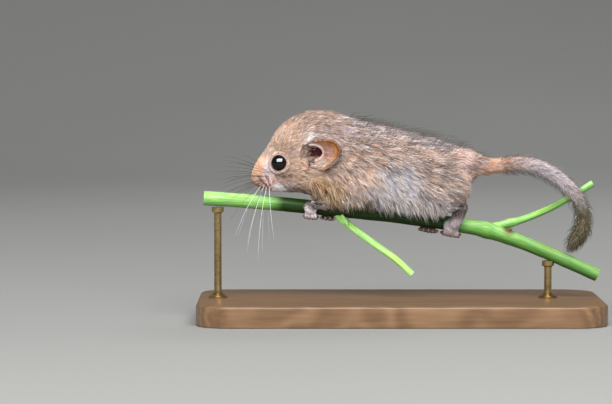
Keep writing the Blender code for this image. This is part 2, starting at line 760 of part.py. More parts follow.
def make_base():
    """A flat wooden base with round corners and softened edges."""
    bm = bmesh.new()
    bmesh.ops.create_cube(bm, size=1.0)
    bmesh.ops.scale(bm, vec=BASE_SIZE, verts=bm.verts)
    bmesh.ops.translate(bm, vec=(0, 0, BASE_SIZE[2] / 2), verts=bm.verts)
    upright = [e for e in bm.edges if abs(e.verts[0].co.z - e.verts[1].co.z) > 1]
    bmesh.ops.bevel(bm, geom=upright, offset=BASE_CORNER, segments=6, profile=0.5, affect="EDGES")
    top = [e for e in bm.edges if min(v.co.z for v in e.verts) > BASE_SIZE[2] - 0.01]
    bmesh.ops.bevel(bm, geom=top, offset=BASE_EDGE, segments=2, profile=0.5, affect="EDGES")
    finish(helper_from(bm, "stand_base"), "stand_base", "base_wood")


def make_rod(name, x):
    """A thin rod with a turned foot, standing on the base, its top shaped to the stem."""
    centre_y, centre_z = stem_centre(x)
    low = BASE_SIZE[2] + GAP
    profile = (
        (0.0, low),
        (ROD_FOOT_RADIUS, low),
        (ROD_FOOT_RADIUS, low + ROD_FOOT_HEIGHT * 0.5),
        (ROD_FOOT_RADIUS * 0.8, low + ROD_FOOT_HEIGHT),
        (ROD_RADIUS, low + ROD_FOOT_HEIGHT * 1.3),
        (ROD_RADIUS, centre_z),
        (0.0, centre_z),
    )
    bm = bmesh.new()
    corners = [bm.verts.new((radius, 0, height)) for radius, height in reversed(profile)]
    for before, after in zip(corners, corners[1:]):
        bm.edges.new((before, after))
    outline = bm.verts[:] + bm.edges[:]
    turn = 2 * math.pi
    bmesh.ops.spin(bm, geom=outline, cent=(0, 0, 0), axis=(0, 0, 1), angle=turn, steps=14, use_merge=True)
    bmesh.ops.remove_doubles(bm, verts=bm.verts, dist=0.01)
    bmesh.ops.translate(bm, vec=(x, centre_y, 0), verts=bm.verts)
    rod = carve(helper_from(bm, name), [stem_cutter()])
    finish(rod, name, "rod_metal")


def main():
    make_trunk()
    for side in ("left", "right"):
        make_legs(side)
        make_ear(side)
        make_eye(side)
    make_tail()
    make_perch()
    make_base()
    for place, x in ROD_X.items():
        make_rod(f"stand_rod_{place}", x)


main()
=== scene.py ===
"""The finished look of a young hazel dormouse: a still, life-size model that grips a cut green stem.

Places below are millimetres in the frame of the solids: the nose points to -X, the animal's left side
faces -Y and the stand rests on z = 0. Meshes are made in metres.
"""

import itertools
import math

import bmesh
import bpy
import numpy as np
from mathutils import Matrix, Vector
from mathutils.bvhtree import BVHTree


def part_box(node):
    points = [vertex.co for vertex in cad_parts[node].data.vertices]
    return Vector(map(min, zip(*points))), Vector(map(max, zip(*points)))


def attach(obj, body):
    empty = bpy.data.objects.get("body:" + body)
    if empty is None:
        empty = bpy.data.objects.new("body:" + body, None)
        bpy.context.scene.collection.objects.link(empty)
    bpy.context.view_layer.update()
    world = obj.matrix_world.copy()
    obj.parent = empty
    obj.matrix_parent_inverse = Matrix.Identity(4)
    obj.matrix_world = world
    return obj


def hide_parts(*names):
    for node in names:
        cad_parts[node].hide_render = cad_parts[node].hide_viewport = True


MM = 0.001
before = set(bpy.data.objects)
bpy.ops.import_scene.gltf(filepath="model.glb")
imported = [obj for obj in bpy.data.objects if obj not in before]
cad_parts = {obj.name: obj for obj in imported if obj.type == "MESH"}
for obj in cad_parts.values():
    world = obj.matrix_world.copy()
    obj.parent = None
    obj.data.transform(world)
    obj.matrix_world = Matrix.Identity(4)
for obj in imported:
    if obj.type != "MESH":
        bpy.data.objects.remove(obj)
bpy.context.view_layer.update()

# View and studio. The camera looks almost level at the animal's left side, as the photograph does. The
# floor is a pale sweep of paper that bends up far behind, under a large soft lamp, a fill and a rim lamp.
# The fourth lamp, the sky, lights nothing but the eyes.
VIEW_AIM = Vector((-26.3, 0.0, 32.9)) * MM
VIEW_DISTANCE = 760 * MM
VIEW_RISE = math.radians(3.5)
VIEW_WIDTH = 171.36 * MM  # seen at the animal's middle
SWEEP_WIDTH, SWEEP_FRONT, SWEEP_BACK, SWEEP_TOP, SWEEP_BEND = 5.0, -2.5, 1.6, 2.6, 0.9  # metres
LAMPS = {  # place and size in metres, watts, colour
    "key": ((0.03, -0.72, 0.82), 1.15, 0.66, 18.3, (1.0, 0.985, 0.96)),
    "sky": ((-0.06, -0.70, 0.80), 1.45, 0.90, 120.0, (0.90, 0.95, 1.0)),
    "fill": ((-0.22, -1.02, 0.32), 0.70, 0.50, 7.4, (0.97, 0.98, 1.0)),
    "rim": ((0.35, 0.60, 0.70), 0.50, 0.30, 2.5, (1.0, 0.99, 0.97)),
}


def new_object(name, data):
    """A new object in the scene, for a mesh, a lamp or a camera."""
    made = bpy.data.objects.new(name, data)
    bpy.context.scene.collection.objects.link(made)
    return made


view_data = bpy.data.cameras.new("view")
view_data.sensor_fit = "HORIZONTAL"
view_data.angle = 2 * math.atan(VIEW_WIDTH / 2 / VIEW_DISTANCE)
view = new_object("view", view_data)
view.location = VIEW_AIM + Vector((0, -math.cos(VIEW_RISE), math.sin(VIEW_RISE))) * VIEW_DISTANCE
view.rotation_euler = (math.radians(90) - VIEW_RISE, 0, 0)
bpy.context.scene.camera = view
bpy.context.scene.view_settings.view_transform = "Standard"

for lamp_name, (place, width, height, power, colour) in LAMPS.items():
    lamp_data = bpy.data.lights.new(lamp_name, "AREA")
    lamp_data.shape = "RECTANGLE"
    lamp_data.size, lamp_data.size_y = width, height
    lamp_data.energy = power
    lamp_data.color = colour
    lamp = new_object(lamp_name, lamp_data)
    lamp.location = place
    lamp.rotation_euler = (VIEW_AIM - Vector(place)).to_track_quat("-Z", "Y").to_euler()
    lamp.visible_glossy = lamp_name in ("key", "sky")
    lamp.visible_diffuse = lamp_name != "sky"

world = bpy.data.worlds.new("studio")
world.use_nodes = True
world.node_tree.nodes["Background"].inputs["Color"].default_value = (0.86, 0.90, 0.93, 1.0)
world.node_tree.nodes["Background"].inputs["Strength"].default_value = 0.16
bpy.context.scene.world = world


def object_of(bm, name):
    """The bmesh as a new object in the scene, smooth-shaded."""
    mesh = bpy.data.meshes.new(name)
    bm.to_mesh(mesh)
    bm.free()
    mesh.shade_smooth()
    return new_object(name, mesh)


def new_material(name, roughness, **constants):
    """A material, its tree and its shader, with what is the same all over set on the shader itself."""
    made = bpy.data.materials.new(name)
    made.use_nodes = True
    shader = made.node_tree.nodes["Principled BSDF"]
    shader.inputs["Roughness"].default_value = roughness
    for socket, value in constants.items():
        shader.inputs[socket.replace("_", " ")].default_value = value
    return made, made.node_tree, shader


def feed(tree, shader, **sockets):
    """Links what changes over the surface to the shader."""
    for socket, output in sockets.items():
        tree.links.new(output, shader.inputs[socket.replace("_", " ")])


def node(tree, kind, inputs=(), **settings):
    """A shader node. Its inputs are filled by name or number, with a value or another node's output."""
    made = tree.nodes.new("ShaderNode" + kind)
    for name, value in settings.items():
        setattr(made, name, value)
    for key, value in dict(inputs).items():
        if isinstance(value, bpy.types.NodeSocket):
            tree.links.new(value, made.inputs[key])
        else:
            made.inputs[key].default_value = value
    return made


def ramp(tree, factor, stops):
    """The colour of a ramp through (place, colour) stops."""
    made = node(tree, "ValToRGB", {"Fac": factor})
    band = made.color_ramp
    while len(band.elements) < len(stops):
        band.elements.new(0.5)
    for element, (place, colour) in zip(band.elements, stops):
        element.position = place
        element.color = (*colour, 1.0)
    return made.outputs["Color"]


def object_place(tree):
    return node(tree, "TexCoord").outputs["Object"]


def mix(tree, share, one, other, way="MIX"):
    """One colour with a share of another mixed in. A colour is three numbers or a node's output."""
    ends = [end if isinstance(end, bpy.types.NodeSocket) else (*end, 1.0) for end in (one, other)]
    inputs = {"Fac": share, "Color1": ends[0], "Color2": ends[1]}
    return node(tree, "MixRGB", inputs, blend_type=way).outputs[0]


def times(tree, one, other):
    return mix(tree, 1.0, one, other, "MULTIPLY")


def grey_ramp(tree, factor, *stops):
    """A ramp through (place, brightness) stops."""
    return ramp(tree, factor, [(place, (level, level, level)) for place, level in stops])


def noise(tree, vector, scale, detail=3.0, roughness=0.5):
    inputs = {"Vector": vector, "Scale": scale, "Detail": detail, "Roughness": roughness}
    return node(tree, "TexNoise", inputs).outputs["Fac"]


def stretched(tree, vector, scale):
    return node(tree, "Mapping", {"Vector": vector, "Scale": scale}).outputs["Vector"]


def bump(tree, height, strength, distance):
    inputs = {"Height": height, "Strength": strength, "Distance": distance}
    return node(tree, "Bump", inputs).outputs["Normal"]


def bevel(bm, edges, offset, segments):
    bmesh.ops.bevel(
        bm, geom=edges, offset=offset, segments=segments, profile=0.5, affect="EDGES", material=-1
    )


bm = bmesh.new()
section = ((SWEEP_FRONT, 0), (SWEEP_BACK, 0), (SWEEP_BACK, SWEEP_TOP))
start = [bm.verts.new((-SWEEP_WIDTH / 2, y, z)) for y, z in section]
rail = [bm.edges.new(pair) for pair in zip(start, start[1:])]
across = bmesh.ops.extrude_edge_only(bm, edges=rail)
moved = [item for item in across["geom"] if isinstance(item, bmesh.types.BMVert)]
bmesh.ops.translate(bm, vec=(SWEEP_WIDTH, 0, 0), verts=moved)
fold = [e for e in bm.edges if all(abs(v.co.y - SWEEP_BACK) < 1e-6 and v.co.z < 1e-6 for v in e.verts)]
bevel(bm, fold, SWEEP_BEND, 16)
bmesh.ops.recalc_face_normals(bm, faces=bm.faces)
sweep = object_of(bm, "floor_sweep")
paper, tree, shader = new_material("pale_paper", 0.9)
place = object_place(tree)
tint = ramp(tree, noise(tree, place, 3.0), [(0.3, (0.30, 0.305, 0.30)), (0.7, (0.325, 0.33, 0.32))])
feed(tree, shader, Base_Color=tint)
sweep.data.materials.append(paper)

# Stand base: one board of oiled hardwood with its grain along its length. Its corners are rounded and its
# edges softened, and the rods' feet are glued to it.
base_low, base_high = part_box("stand_base")
base_size = base_high - base_low
BASE_CORNER = 9.0 * MM
BASE_EDGE = 0.8 * MM

bm = bmesh.new()
bmesh.ops.create_cube(bm, size=1.0)
bmesh.ops.scale(bm, vec=base_size, verts=bm.verts)
bmesh.ops.translate(bm, vec=(base_low + base_high) / 2, verts=bm.verts)
upright = [e for e in bm.edges if abs(e.verts[0].co.z - e.verts[1].co.z) > base_size.z / 2]
bevel(bm, upright, BASE_CORNER, 14)
top_edges = [e for e in bm.edges if min(v.co.z for v in e.verts) > base_high.z - 0.01 * MM]
bevel(bm, top_edges, BASE_EDGE, 5)
low_edges = [e for e in bm.edges if max(v.co.z for v in e.verts) < base_low.z + 0.01 * MM]
bevel(bm, low_edges, BASE_EDGE / 2, 2)
base = object_of(bm, "base_board")
base.data.set_sharp_from_angle(angle=math.radians(50))
wood, tree, shader = new_material("oiled_wood", 0.42, Coat_Weight=0.15, Coat_Roughness=0.25)
place = object_place(tree)
wavy = mix(tree, 0.02, place, noise(tree, place, 22.0))
waves = {"Vector": stretched(tree, wavy, (6, 150, 90)), "Scale": 1.1, "Distortion": 1.2, "Detail": 3.0}
rings = node(tree, "TexWave", waves, bands_direction="Y").outputs["Fac"]
fibres = noise(tree, stretched(tree, place, (60, 1500, 900)), 1.0, 4.0)
tone = mix(tree, 0.7, rings, fibres)
browns = [(0.15, (0.105, 0.055, 0.026)), (0.5, (0.19, 0.105, 0.052)), (0.85, (0.27, 0.16, 0.085))]
tint = ramp(tree, tone, browns)
rough = grey_ramp(tree, fibres, (0.2, 0.5), (0.8, 0.34))
feed(tree, shader, Base_Color=tint, Roughness=rough, Normal=bump(tree, tone, 0.25, 0.00008))
base.data.materials.append(wood)
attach(base, "root")
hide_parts("stand_base")

# Stand rods: two thin turned brass rods. Each has a stepped foot that is let into the board and glued, and
# ends in a small saddle under the stem.
ROD_RADIUS = 1.05
ROD_FOOT = (  # radius and height of its steps
    (0.0, 0.0), (2.6, 0.0), (2.6, 0.35), (2.35, 0.5), (2.05, 0.55),
    (2.05, 0.85), (1.6, 1.0), (1.15, 1.4), (ROD_RADIUS, 1.9),
)
SADDLE_RADIUS, SADDLE_HEIGHT, SADDLE_SLOPE = 1.7, 1.3, 0.4
LET_IN = 0.3 * MM

brass, tree, shader = new_material("brushed_brass", 0.3, Metallic=1.0)
place = object_place(tree)
turning = noise(tree, stretched(tree, place, (300, 300, 6000)), 1.0, 3.0)
tint = ramp(tree, turning, [(0.3, (0.46, 0.33, 0.15)), (0.7, (0.62, 0.46, 0.22))])
rough = grey_ramp(tree, noise(tree, place, 700.0), (0.3, 0.24), (0.7, 0.4))
feed(tree, shader, Base_Color=tint, Roughness=rough, Normal=bump(tree, turning, 0.15, 0.00003))
for rod_end in ("front", "rear"):
    low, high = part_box(f"stand_rod_{rod_end}")
    middle = (low + high) / 2
    length = (high.z - low.z) / MM
    saddle = length - SADDLE_HEIGHT
    profile = [*ROD_FOOT, (ROD_RADIUS, saddle - SADDLE_SLOPE), (SADDLE_RADIUS, saddle)]
    profile += [(SADDLE_RADIUS, length), (0.0, length)]
    bm = bmesh.new()
    corners = [bm.verts.new((radius * MM, 0, height * MM)) for radius, height in reversed(profile)]
    for pair in zip(corners, corners[1:]):
        bm.edges.new(pair)
    outline = bm.verts[:] + bm.edges[:]
    turn = 2 * math.pi
    bmesh.ops.spin(bm, geom=outline, cent=(0, 0, 0), axis=(0, 0, 1), angle=turn, steps=40, use_merge=True)
    bmesh.ops.remove_doubles(bm, verts=bm.verts, dist=0.001 * MM)
    bmesh.ops.recalc_face_normals(bm, faces=bm.faces)
    bmesh.ops.translate(bm, vec=(middle.x, middle.y, low.z - LET_IN), verts=bm.verts)
    rod = object_of(bm, f"rod_{rod_end}")
    rod.data.set_sharp_from_angle(angle=math.radians(35))
    rod.data.materials.append(brass)
    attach(rod, "root")
    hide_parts(f"stand_rod_{rod_end}")

# Perch: a cut length of a young green stem with two side shoots, a bud and a stipule. Its bark is smooth
# and faintly ribbed, with a swollen node at each fork, and the pale pith shows at the cuts.
STEM_RADIUS = 2.05  # under the animal
STEM_PATH = (  # x, y, z and radius, as in the other paths
    (-54.9, 0.0, 34.0, 2.0),
    (-42.0, 0.2, 33.1, 2.0),
    (-28.0, 0.0, 31.8, 2.0),
    (-14.0, -0.1, 30.4, 2.05),
    (0.0, 0.0, 28.9, 2.05),
    (16.8, 0.0, 26.4, 2.05),
    (25.0, 0.0, 24.8, 2.2),
    (35.0, -0.2, 21.3, 1.95),
    (45.0, -0.3, 17.1, 1.9),
    (55.4, -0.2, 12.4, 1.85),
)
UPPER_SHOOT = (
    (19.5, 0.3, 25.6, 1.4),
    (24.5, 0.9, 25.4, 1.4),
    (29.4, 1.9, 26.5, 1.15),
    (35.0, 3.3, 27.9, 1.0),
    (42.0, 4.8, 30.6, 0.95),
    (48.0, 5.9, 33.7, 0.95),
    (54.6, 7.0, 37.7, 0.95),
)
LOWER_SHOOT = (
    (-18.0, -0.3, 30.0, 1.0),
    (-16.6, -0.5, 28.6, 1.1),
    (-14.0, -1.0, 26.3, 1.05),
    (-7.0, -1.4, 21.1, 1.0),
    (-1.4, -1.8, 17.1, 0.95),
    (3.4, -2.2, 12.8, 0.9),
)
BUD = ((29.4, 0.2, 24.6, 0.6), (30.1, -0.3, 25.0, 0.65), (30.8, -0.6, 25.3, 0.5), (31.6, -0.8, 25.6, 0.08))
BUD_SCAR = (0.0304, -0.0008, 0.0248)  # in metres
STIPULE = (
    (-16.2, -2.0, 29.4, 0.35),
    (-15.6, -2.5, 28.2, 0.6),
    (-15.0, -2.7, 27.0, 0.5),
    (-14.6, -2.6, 26.0, 0.08),
)
NODE_LENGTH = 1.3
# Painted light and shadow along the stem: the animal's shadow is painted on it from x -33 to 12, it is
# painted darker towards its right end, and painted lighter at its left end and on both shoots.
STEM_LIGHT_AND_SHADOW = ((-37, -33, 12, 17, 28, 40), (0.38, 1, 1, 0.52, 0.60, 0.70))  # along x, 0 pale to 1 dark
SHOOT_PAINTED_LIGHT = {"upper_shoot": 0.4, "lower_shoot": 0.05}


def smooth_path(points, count):
    """count points on a Catmull-Rom curve through the given ones, with their radii."""
    given = np.array(points, float)
    padded = np.vstack([2 * given[0] - given[1], given, 2 * given[-1] - given[-2]])
    places = np.linspace(0, len(given) - 1, count)
    i = np.minimum(places.astype(int), len(given) - 2)
    t = (places - i)[:, None]
    a, b, c, d = padded[i], padded[i + 1], padded[i + 2], padded[i + 3]
    square = 2 * a - 5 * b + 4 * c - d
    cube = 3 * b - a - 3 * c + d
    return 0.5 * (2 * b + (c - a) * t + square * t**2 + cube * t**3)


def applied(obj):
    """A bmesh of the object as its curve or its modifier makes it. The object itself is removed."""
    bpy.context.view_layer.update()
    mesh = bpy.data.meshes.new_from_object(obj.evaluated_get(bpy.context.evaluated_depsgraph_get()))
    bpy.data.objects.remove(obj)
    bm = bmesh.new()
    bm.from_mesh(mesh)
    bpy.data.meshes.remove(mesh)
    return bm


def tubes(name, paths, sides, caps=True):
    """One mesh object with a tapering tube along each path of x, y, z, radius."""
    curve = bpy.data.curves.new(name, "CURVE")
    curve.dimensions = "3D"
    curve.bevel_depth = MM
    curve.bevel_resolution = max(0, sides // 2 - 2)
    curve.use_fill_caps = caps
    for path in paths:
        spline = curve.splines.new("POLY")
        spline.points.add(len(path) - 1)
        for target, (x, y, z, radius) in zip(spline.points, path):
            target.co = (x * MM, y * MM, z * MM, 1.0)
            target.radius = radius
    bm = applied(new_object(name, curve))
    bmesh.ops.remove_doubles(bm, verts=bm.verts, dist=0.002 * MM)
    bmesh.ops.recalc_face_normals(bm, faces=bm.faces)
    return object_of(bm, name)


def rounded_tip(path):
    """The path with three more points that close its end in a half round."""
    path = [tuple(p) for p in path]
    end, before = np.array(path[-1]), np.array(path[-2])
    way = (end[:3] - before[:3]) / np.linalg.norm(end[:3] - before[:3])
    for far in (0.5, 0.87, 0.99):
        path.append((*(end[:3] + way * end[3] * far), end[3] * math.sqrt(1 - far * far)))
    return path


def mark(mesh, **marks):
    """Stores attributes on the mesh's points: one number for all, or a number or a vector for each."""
    for name, values in marks.items():
        is_vector = np.ndim(values) == 2
        made = mesh.attributes.new(name, "FLOAT_VECTOR" if is_vector else "FLOAT", "POINT")
        if not is_vector:
            values = np.broadcast_to(values, len(mesh.vertices))
        values = np.ascontiguousarray(values, np.float32).ravel()
        made.data.foreach_set("vector" if is_vector else "value", values)


def places_of(mesh):
    """The mesh's points in millimetres."""
    co = np.empty(len(mesh.vertices) * 3, np.float32)
    mesh.vertices.foreach_get("co", co)
    return co.reshape(-1, 3).astype(float) / MM


def round_axis(points, axis):
    """For each point: its distance along the axis, its angle round it, the axis's way and its place."""
    axis = np.asarray(axis, float)[:, :3]
    ahead = np.gradient(axis, axis=0)
    ahead /= np.linalg.norm(ahead, axis=1)[:, None]
    steps = np.linalg.norm(np.diff(axis, axis=0), axis=1)
    distance = np.concatenate([[0], np.cumsum(steps)])
    lots = np.array_split(points, len(points) // 4000 + 1)
    nearest = np.concatenate([((lot[:, None, :] - axis[None]) ** 2).sum(2).argmin(1) for lot in lots])
    way = ahead[nearest]
    offset = points - axis[nearest]
    along = distance[nearest] + (offset * way).sum(1)
    side = np.array([0.0, 1.0, 0.0]) - way * way[:, 1:2]
    side /= np.linalg.norm(side, axis=1)[:, None]
    up = np.cross(way, side)
    angle = np.arctan2((offset * side).sum(1), (offset * up).sum(1))
    return along, angle, way, axis[nearest]


def unbend(obj, axis):
    """Stores each point's place as if the piece were straightened, so that a grain can run along it."""
    points = places_of(obj.data)
    along, angle, _, centre = round_axis(points, axis)
    out = np.linalg.norm(points - centre, axis=1)
    straight = np.stack([along, out * np.cos(angle), out * np.sin(angle)], 1)
    mark(obj.data, straight_place=straight, up_side=np.cos(angle))


def stored(tree, name, output="Fac"):
    """What a mesh attribute says at the shaded place."""
    return node(tree, "Attribute", attribute_name=name).outputs[output]


def rescaled(tree, value, low, high, top=1.0, bottom=0.0, **settings):
    """The value spread from low and high to bottom and top, and kept between them."""
    inputs = {"Value": value, "From Min": low, "From Max": high, "To Min": bottom, "To Max": top}
    return node(tree, "MapRange", inputs, **settings).outputs[0]


def vector_math(tree, operation, inputs, output="Vector"):
    return node(tree, "VectorMath", inputs, operation=operation).outputs[output]


bark, tree, shader = new_material(
    "green_bark", 0.45, Coat_Weight=0.05, Coat_Roughness=0.3, Specular_IOR_Level=0.3
)
straight = stored(tree, "straight_place", "Vector")
place = object_place(tree)
ribs = noise(tree, stretched(tree, straight, (0.12, 3.2, 3.2)), 1.0, 4.0, 0.6)
clouds = noise(tree, stretched(tree, straight, (0.25, 0.5, 0.5)), 1.0, 2.0)
greens = [(0.3, (0.12, 0.34, 0.055)), (0.52, (0.27, 0.57, 0.18)), (0.75, (0.44, 0.74, 0.36))]
green = ramp(tree, ribs, greens)
yellow = ramp(tree, clouds, [(0.35, (1.0, 1.0, 1.0)), (0.7, (1.25, 1.08, 0.8))])
tint = times(tree, green, yellow)
spots = noise(tree, stretched(tree, straight, (2.2, 4.5, 4.5)), 1.0, 1.0)
mask = grey_ramp(tree, spots, (0.66, 0), (0.72, 1))
from_bud = vector_math(tree, "DISTANCE", {0: place, 1: BUD_SCAR}, "Value")
scar = rescaled(tree, from_bud, 0.0024, 0.0008, 0.95)
tint = mix(tree, mask, tint, (0.40, 0.40, 0.16))
tint = mix(tree, scar, tint, (0.15, 0.085, 0.04))
# Painted light and shade round the bark: the underside is painted dark and the top light, as lit from
# above, over a slightly deeper green underside of the bark's own.
upper = rescaled(tree, stored(tree, "up_side"), -1.0, 1.0)
shade = ramp(tree, upper, [(0.0, (0.16, 0.28, 0.15)), (0.5, (0.55, 0.68, 0.52)), (0.85, (1.0, 1.0, 1.0))])
# Painted light and shadow: below one half the bark is painted lighter, and above it a painted shadow
# darkens it.
weathered = stored(tree, "weathered")
amount = rescaled(tree, weathered, 0.0, 0.5)
shade = mix(tree, amount, (1.6, 1.5, 1.6), shade)
deep = ramp(tree, weathered, [(0.5, (1.0, 1.0, 1.0)), (1.0, (0.06, 0.10, 0.045))])
tint = times(tree, tint, shade)
tint = times(tree, tint, deep)
rough = grey_ramp(tree, ribs, (0.3, 0.52), (0.7, 0.33))
feed(tree, shader, Base_Color=tint, Roughness=rough, Normal=bump(tree, ribs, 0.5, 0.00012))
cut, tree, shader = new_material("cut_pith", 0.7)
place = object_place(tree)
pores = noise(tree, place, 2600.0)
tint = ramp(tree, pores, [(0.35, (0.50, 0.55, 0.28)), (0.65, (0.72, 0.74, 0.50))])
feed(tree, shader, Base_Color=tint, Normal=bump(tree, pores, 0.5, 0.0001))

rng = np.random.default_rng(11)
for shoot, path, count, swollen, extra in (  # swollen: where along x, and how much
    ("stem", STEM_PATH, 130, ((-15.4, 0.18), (24.4, 0.22)), None),
    ("upper_shoot", UPPER_SHOOT, 60, ((31.2, 0.2),), BUD),
    ("lower_shoot", LOWER_SHOOT, 60, ((-16.0, 0.15),), STIPULE),
):
    points = smooth_path(path, count)
    for at_x, swell in swollen:
        points[:, 3] += swell * np.exp(-(((points[:, 0] - at_x) / NODE_LENGTH) ** 2))
    points[:, 3] *= 1 + 0.012 * np.sin(np.arange(count) * 0.55) + 0.006 * rng.standard_normal(count)
    paths = [points] if extra is None else [points, rounded_tip(smooth_path(extra, 9))]
    piece = tubes(f"perch_{shoot}_bark", paths, 24)
    unbend(piece, points)
    at_x = places_of(piece.data)[:, 0]
    # painted light and shadow along the stem and on the shoots
    mark(piece.data, weathered=SHOOT_PAINTED_LIGHT.get(shoot, np.interp(at_x, *STEM_LIGHT_AND_SHADOW)))
    piece.data.materials.append(bark)
    piece.data.materials.append(cut)
    for polygon in piece.data.polygons:
        if len(polygon.vertices) > 6:  # the flat cuts
            polygon.material_index = 1
    piece.data.set_sharp_from_angle(angle=math.radians(50))
    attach(piece, "root")
    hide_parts("perch_" + shoot)

# Skin: one hide over the whole body, from the lips to the tail's tip, with the eyelids, ears and bare feet
# in it. It lies under the coat by the coat's depth, so it starts as the solids' outline and is drawn in.
FLESH = ["head", "neck", "torso", "tail_1", "tail_2", "tail_3", "tail_4"]
FLESH += [f"{part}_{side}" for part in ("fore_leg", "hind_leg") for side in ("left", "right")]
SKIN_GRAIN = 0.42 * MM  # size of the hide's mesh
GAP_CLOSING = 0.22 * MM  # the solids keep a gap of 0.3 mm between each other
COAT_DEPTH = (  # x, and how deep the skin lies below the coat's outline there
    (-41.6, 0.12), (-38.0, 0.22), (-35.0, 0.35), (-31.0, 0.5), (-26.0, 0.75), (-20.0, 0.95), (-10.0, 1.15),
    (5.0, 1.25), (15.0, 1.1), (22.0, 0.85), (27.0, 1.05), (40.0, 1.35), (53.0, 1.35)
)
FORE_LIMB = (
    (-11.0, 7.6, 36.5, 2.8), (-12.0, 7.6, 35.0, 2.3), (-14.6, 7.2, 33.4, 1.75),
    (-20.2, 5.4, 32.9, 1.5), (-23.9, 4.3, 32.6, 1.2),
)
HIND_LIMB = ((8.4, 8.4, 33.9, 2.9), (12.3, 8.2, 32.0, 2.2), (16.7, 6.9, 32.7, 1.85))
TAIL_PATH = (
    (22.0, 0.0, 43.0, 2.3), (24.4, 0.0, 42.95, 2.25), (28.2, -0.1, 43.1, 2.2), (32.6, -0.3, 43.5, 2.35),
    (37.0, -0.7, 43.1, 2.45), (41.0, -1.2, 41.6, 2.5), (44.6, -1.6, 39.2, 2.5), (47.8, -2.0, 36.2, 2.45),
    (50.0, -2.2, 33.0, 2.4), (51.1, -2.3, 29.4, 2.35), (50.9, -2.2, 26.0, 2.3), (49.5, -2.0, 23.0, 2.15),
    (48.2, -1.7, 20.9, 1.6),
)
LIMB_SHOWS = {"fore": (0.60, 0.80), "hind": (0.25, 0.55)}  # where, as a share, a limb leaves the coat
FORE_SHIFT = {"left": 0.0, "right": 4.75}  # how far back a foot stands
HIND_SHIFT = {"left": 0.0, "right": -6.3}
EYE_CENTRE = Vector((-33.55, 4.7, 44.0))
EYE_RADIUS = 2.5
LID_ANGLE = 67.5  # degrees from the gaze to the lid's edge
LID_THICK = 0.3
GAZE_FORWARD, GAZE_UP = math.radians(20), math.radians(6)
SIDES = {"left": -1.0, "right": 1.0}


def at_side(side, place):
    """A place on the right side, or its mirror image on the left."""
    return np.array([place[0], SIDES[side] * place[1], place[2]])


def gaze(side):
    """The way that the eye looks."""
    level = np.array([-math.sin(GAZE_FORWARD), SIDES[side] * math.cos(GAZE_FORWARD), 0.0])
    return level * math.cos(GAZE_UP) + np.array([0, 0, math.sin(GAZE_UP)])


def step_up(low, high, values):
    """0 below low and 1 above high, with a soft change between."""
    t = np.clip((values - low) / (high - low), 0, 1)
    return t * t * (3 - 2 * t)


def hill(values, middle, width):
    """1 at the middle, falling off to 0 on both sides."""
    return np.exp(-(((values - middle) / width) ** 2))


def remeshed(obj, grain):
    """The object as one even closed mesh without the walls inside it."""
    modifier = obj.modifiers.new("remesh", "REMESH")
    modifier.mode = "VOXEL"
    modifier.voxel_size = grain
    modifier.adaptivity = 0.0
    return applied(obj)


def relax(bm, rounds, verts=None):
    axes = dict(use_axis_x=True, use_axis_y=True, use_axis_z=True)
    for _ in range(rounds):
        bmesh.ops.smooth_vert(bm, verts=verts or bm.verts, factor=0.5, **axes)


def arrays_of(bm):
    """The bmesh's points in millimetres, and its normals."""
    bm.normal_update()
    return np.array([v.co for v in bm.verts]) / MM, np.array([v.normal for v in bm.verts])


def move_to(bm, points):
    for v, place in zip(bm.verts, points):
        v.co = place * MM


def add_ball(bm, centre, radii, turn=None, segments=24, rings=14):
    """An ellipsoid of flesh, in millimetres, added to the bmesh."""
    made = bmesh.ops.create_uvsphere(bm, u_segments=segments, v_segments=rings, radius=1.0)["verts"]
    bmesh.ops.scale(bm, vec=Vector(radii) * MM, verts=made)
    if turn is not None:
        bmesh.ops.rotate(bm, matrix=turn, verts=made)
    bmesh.ops.translate(bm, vec=Vector(centre) * MM, verts=made)


def limb_axis(joints, side, shift):
    """The middle line of one limb, its foot shifted along the stem."""
    last = len(joints) - 1
    return [(x + shift * k / last, SIDES[side] * y, z, r) for k, (x, y, z, r) in enumerate(joints)]


LIMBS = {}
for side in SIDES:
    LIMBS["fore_" + side] = smooth_path(limb_axis(FORE_LIMB, side, FORE_SHIFT[side]), 24)
    LIMBS["hind_" + side] = smooth_path(limb_axis(HIND_LIMB, side, HIND_SHIFT[side]), 24)
TAIL_AXIS = smooth_path(TAIL_PATH, 90)

# the solids, each a little thicker so that they meet, and flesh behind the eyes and ears and on the chest
bm = bmesh.new()
for name in FLESH:
    part = bmesh.new()
    part.from_mesh(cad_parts[name].data)
    bmesh.ops.remove_doubles(part, verts=part.verts, dist=0.002 * MM)
    part.normal_update()
    for v in part.verts:
        v.co += v.normal * GAP_CLOSING * min(1.6, v.calc_shell_factor())
    mesh = bpy.data.meshes.new("part")
    part.to_mesh(mesh)
    part.free()
    bm.from_mesh(mesh)
    bpy.data.meshes.remove(mesh)

EAR_CENTRE = (-21.9, 9.9, 46.6)
EAR_STANDS_OFF, EAR_TIPS_UP = math.radians(27), math.radians(5)


def ear_matrix(side):
    """The ear's own axes: X from its root to its tip, Y up across it, Z out of the cup."""
    s = SIDES[side]
    off, up = EAR_STANDS_OFF, EAR_TIPS_UP
    along = Vector((math.cos(off) * math.cos(up), s * math.sin(off) * math.cos(up), math.sin(up)))
    out = Vector((-math.sin(off), s * math.cos(off), 0.0))
    across = out.cross(along).normalized()
    turn = Matrix((along, across, out)).transposed()
    return Matrix.Translation(Vector(at_side(side, EAR_CENTRE))) @ turn.to_4x4()


